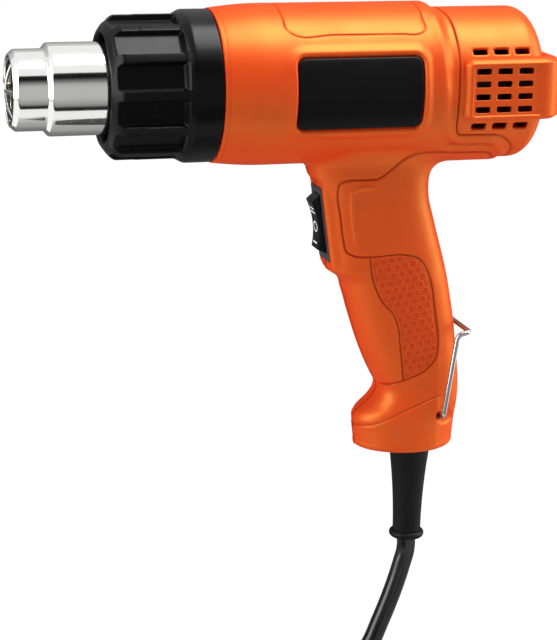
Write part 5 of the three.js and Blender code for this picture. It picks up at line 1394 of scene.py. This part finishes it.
class OBJECT_OT_hot_air_cord_guard(bpy.types.Operator):
    """Makes the tapered rubber cord guard"""

    bl_idname = "object.hot_air_cord_guard"
    bl_label = "Cord guard"

    def execute(self, context):
        """Profile turned about the lead: flange and neck in the base, a hollow taper whose radius
        falls along a parabola, and a round end bead."""
        top, end, bore_r, bead_r = BASE_Z + 0.05, GUARD_END_Z, 4.6, 1.7
        t, a = np.linspace(0, 1, 40), np.linspace(1.15, -1.45, 18)
        flange = [(BASE_Z + 5.2, bore_r), (BASE_Z + 5.2, 9.6), (BASE_Z + 2.8, 9.6),
                  (BASE_Z + 2.8, 7.2), (top, 7.2), (top, 9.3)]
        taper = places(top - 0.2 + (end + 3.2 - top) * t, 6.4 + 3.2 * (1 - t) ** 2)
        bead = places(end + bead_r + bead_r * np.sin(a), 6.3 + bead_r * np.cos(a))
        profile = np.concatenate([flange, taper, bead, [(end, bore_r)]])
        solid("lead_guard", turned(profile, 64, (CORD_X, 0, 0), "Z"), "guard_rubber", "guard",
              "cord_guard", rows=True, crease=40)
        return {"FINISHED"}


class OBJECT_OT_hot_air_inside(bpy.types.Operator):
    """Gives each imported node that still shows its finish"""

    bl_idname = "object.hot_air_inside"
    bl_label = "Inner pieces"

    def execute(self, context):
        """The longest of these words that a node's name holds gives its finish."""
        wanted = {"screw": "screw", "mica": "mica", "element": "mica", "heating": "heater",
                  "fan_duct": "duct", "fan": "fan", "motor_can": "motor", "motor_shaft": "screw",
                  "motor_end": "duct", "rectifier": "board", "switch_terminal": "brass",
                  "wire": "lead", "cord_clamp": "duct"}
        for name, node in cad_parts.items():
            if node.hide_render:
                continue
            keys = [k for k in wanted if k in name]
            if not keys:
                raise RuntimeError(f"no finish is given for the packed node {name}")
            node.data.materials.clear()
            node.data.materials.append(finish(wanted[max(keys, key=len)]))
        return {"FINISHED"}


# Stage, in metres. A card that mirrors see is a line of places with the tone at each of them.
FLOOR_HALF, FLOOR_BACK, FLOOR_GAP = 6.0, 2.0, 0.0002
CARD_FRONT_Y, CARD_UNDER_Z, CARD_BACK_Y, CARD_HALF = -1.3, -0.182, 0.36, 2.2
CARD_FRONT = [(1.53, 0.03), (1.38, 0.02), (1.2, 0.005), (1.04, 0.012), (0.98, 0.03), (0.87, 0.12),
              (0.714, 0.26), (0.584, 0.44), (0.463, 0.51), (0.349, 0.545), (-0.182, 0.53)]
CARD_UNDER = [(-1.2, 0.52), (-0.868, 0.49), (-0.669, 0.42), (-0.535, 0.36), (-0.44, 0.27),
              (-0.4, 0.12), (-0.366, 0.014), (-0.31, 0.02), (-0.282, 0.03), (-0.28, 1.0),
              (-0.1, 1.0), (-0.07, 0.62), (-0.03, 0.58), (0.01, 0.45), (0.1, 0.38), (0.165, 0.25),
              (0.29, 0.2), (0.36, 0.18)]
CARD_BACK = [(0.1, 0.18), (0.15, 0.25), (0.28, 0.55), (0.42, 0.68)]
SIDE_CARD_Y, SIDE_CARD_Z, SIDE_CARD_X = (-0.25, 0.35), -0.178, (0.32, 1.15)
SIDE_CARDS = (("mirror_left", -1, 1.1), ("mirror_right", 1, 1.4))


class OBJECT_OT_hot_air_stage(bpy.types.Operator):
    """Makes the pale floor, the lamps, the cards that metal mirrors, and the world"""

    bl_idname = "object.hot_air_stage"
    bl_label = "Stage"

    def execute(self, context):
        stage = context.scene.hot_air_stage
        context.scene.view_settings.view_transform = "Standard"
        self.floor(stage.floor_z - FLOOR_GAP)
        self.world(context, stage.fill)
        self.lamp("top_lamp", (0.3, -0.1, 1.15), (0.0, 0.0, 0.1), 0.7, 0.7, stage.top)
        for name, x in (("left_lamp", -1.2), ("right_lamp", 1.2)):
            self.lamp(name, (x, -0.15, 0.45), (0.0, 0.0, 0.0), 0.8, 1.4, stage.sides)
        self.cards()
        return {"FINISHED"}

    def white_when_seen(self, f):
        """One for the light that the camera, mirrors and glass see, nought for all other light."""
        camera, mirror, glass = (f.node("ShaderNodeLightPath", out=f"Is {ray} Ray")
                                 for ray in ("Camera", "Glossy", "Transmission"))
        return (camera + mirror + glass).clamped()

    def sheet(self, name, points):
        """Mesh of a grid of points in metres."""
        index = np.arange(points.shape[0] * points.shape[1]).reshape(points.shape[:2])
        faces = np.stack([index[:-1, :-1], index[1:, :-1], index[1:, 1:], index[:-1, 1:]], -1)
        mesh = bpy.data.meshes.new(name)
        mesh.from_pydata(points.reshape(-1, 3).tolist(), [], faces.reshape(-1, 4).tolist())
        return mesh

    def floor(self, z):
        """Level sheet that looks white, less so near the tool, where it keeps the shadow."""
        span = np.linspace(-1, 1, 9) * FLOOR_HALF
        mesh = self.sheet("floor", places(span[:, None], span[None, :] + FLOOR_BACK, z))
        f = Finish.named("pale floor")
        f.shade(Base_Color=(0.8, 0.8, 0.8, 1.0), Roughness=0.9)
        far = f.node("ShaderNodeVectorMath", {"operation": "LENGTH"}, {0: f.place()}, out="Value")
        far = f.node("ShaderNodeMapRange", {"interpolation_type": "SMOOTHSTEP"},
                     {"Value": far, "From Min": 0.35, "From Max": 1.1, "To Min": 0.86,
                      "To Max": 1.0})
        glow = f.node("ShaderNodeEmission", {}, {"Color": (1, 1, 1, 1), "Strength": 1.03})
        f.lay_over(self.white_when_seen(f) * far, glow)
        mesh.materials.append(f.owner)
        floor = link("floor", mesh)

    def world(self, context, fill):
        """Even light of the fill's strength, white where it is seen."""
        context.scene.world = bpy.data.worlds.new("studio")
        f = Finish(context.scene.world)
        back = f.tree.nodes["Background"]
        f.put(back.inputs["Strength"], self.white_when_seen(f) * (1.0 - fill) + fill)
        back.inputs["Color"].default_value = (1, 1, 1, 1)

    def lamp(self, name, place, aim, wide, high, power):
        """Flat oblong lamp at a place that looks at its aim."""
        data = bpy.data.lights.new(name, "AREA")
        data.shape, data.size, data.size_y, data.energy = "RECTANGLE", wide, high, power
        lamp = link(name, data)
        lamp.location = place
        lamp.rotation_mode = "QUATERNION"
        lamp.rotation_quaternion = (Vector(aim) - Vector(place)).to_track_quat("-Z", "Y")

    def cards(self):
        """Cards round the tool that only mirrors see. The large one runs down a wall in front,
        under the tool and up a low wall behind; straight tones join its points."""
        surround = np.concatenate([[(CARD_FRONT_Y, z, tone) for z, tone in CARD_FRONT],
                                   [(y, CARD_UNDER_Z, tone) for y, tone in CARD_UNDER],
                                   [(CARD_BACK_Y, z, tone) for z, tone in CARD_BACK]])
        self.card("mirror_surround", surround, (-CARD_HALF, CARD_HALF))
        for name, way, tone in SIDE_CARDS:
            line = np.array([(y, SIDE_CARD_Z, tone) for y in SIDE_CARD_Y])
            self.card(name, line, [x * way for x in SIDE_CARD_X])

    def card(self, name, line, ends):
        """Sheet that carries a line of (y, z, tone) along X from one end to the other."""
        mesh = self.sheet(name, places(np.array(ends)[:, None], line[:, 0], line[:, 1]))
        tones = mesh.attributes.new("tone", "FLOAT", "POINT")
        tones.data.foreach_set("value", np.tile(line[:, 2], len(ends)))
        f = Finish.named(name + " tone")
        f.shade(Base_Color=(0, 0, 0, 1), Emission_Color=f.attribute("tone"), Emission_Strength=1.0,
                Specular_IOR_Level=0.0)
        mesh.materials.append(f.owner)
        card = link(name, mesh)
        card.visible_camera = card.visible_diffuse = card.visible_shadow = False
        card.visible_transmission = card.visible_volume_scatter = False


class VIEW3D_PT_hot_air(bpy.types.Panel):
    """Sidebar panel that lists the steps, sizes and colours"""

    bl_idname = "VIEW3D_PT_hot_air"
    bl_label = "Hot air tool"
    bl_space_type = "VIEW_3D"
    bl_region_type = "UI"
    bl_category = "Hot air tool"

    def draw(self, context):
        for operator in OPERATORS:
            self.layout.operator(operator.bl_idname)
        for group in GROUPS:
            box = self.layout.box()
            held = getattr(context.scene, group)
            for name in held.__annotations__:
                box.prop(held, name)


GROUPS = {"hot_air_sizes": HotAirSizes, "hot_air_colours": HotAirColours,
          "hot_air_stage": HotAirStage}
OPERATORS = (OBJECT_OT_hot_air_camera, OBJECT_OT_hot_air_lead, OBJECT_OT_hot_air_shell,
             OBJECT_OT_hot_air_plate, OBJECT_OT_hot_air_nozzle, OBJECT_OT_hot_air_switch,
             OBJECT_OT_hot_air_bail, OBJECT_OT_hot_air_cord_guard, OBJECT_OT_hot_air_inside,
             OBJECT_OT_hot_air_stage)
CLASSES = (*GROUPS.values(), *OPERATORS, VIEW3D_PT_hot_air)


def register():
    for cls in CLASSES:
        bpy.utils.register_class(cls)
    for name, group in GROUPS.items():
        setattr(bpy.types.Scene, name, bpy.props.PointerProperty(type=group))


def unregister():
    for name in GROUPS:
        delattr(bpy.types.Scene, name)
    for cls in reversed(CLASSES):
        bpy.utils.unregister_class(cls)


def main():
    """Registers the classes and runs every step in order."""
    register()
    for operator in OPERATORS:
        group, name = operator.bl_idname.split(".")
        getattr(getattr(bpy.ops, group), name)()


if __name__ == "__main__":
    main()
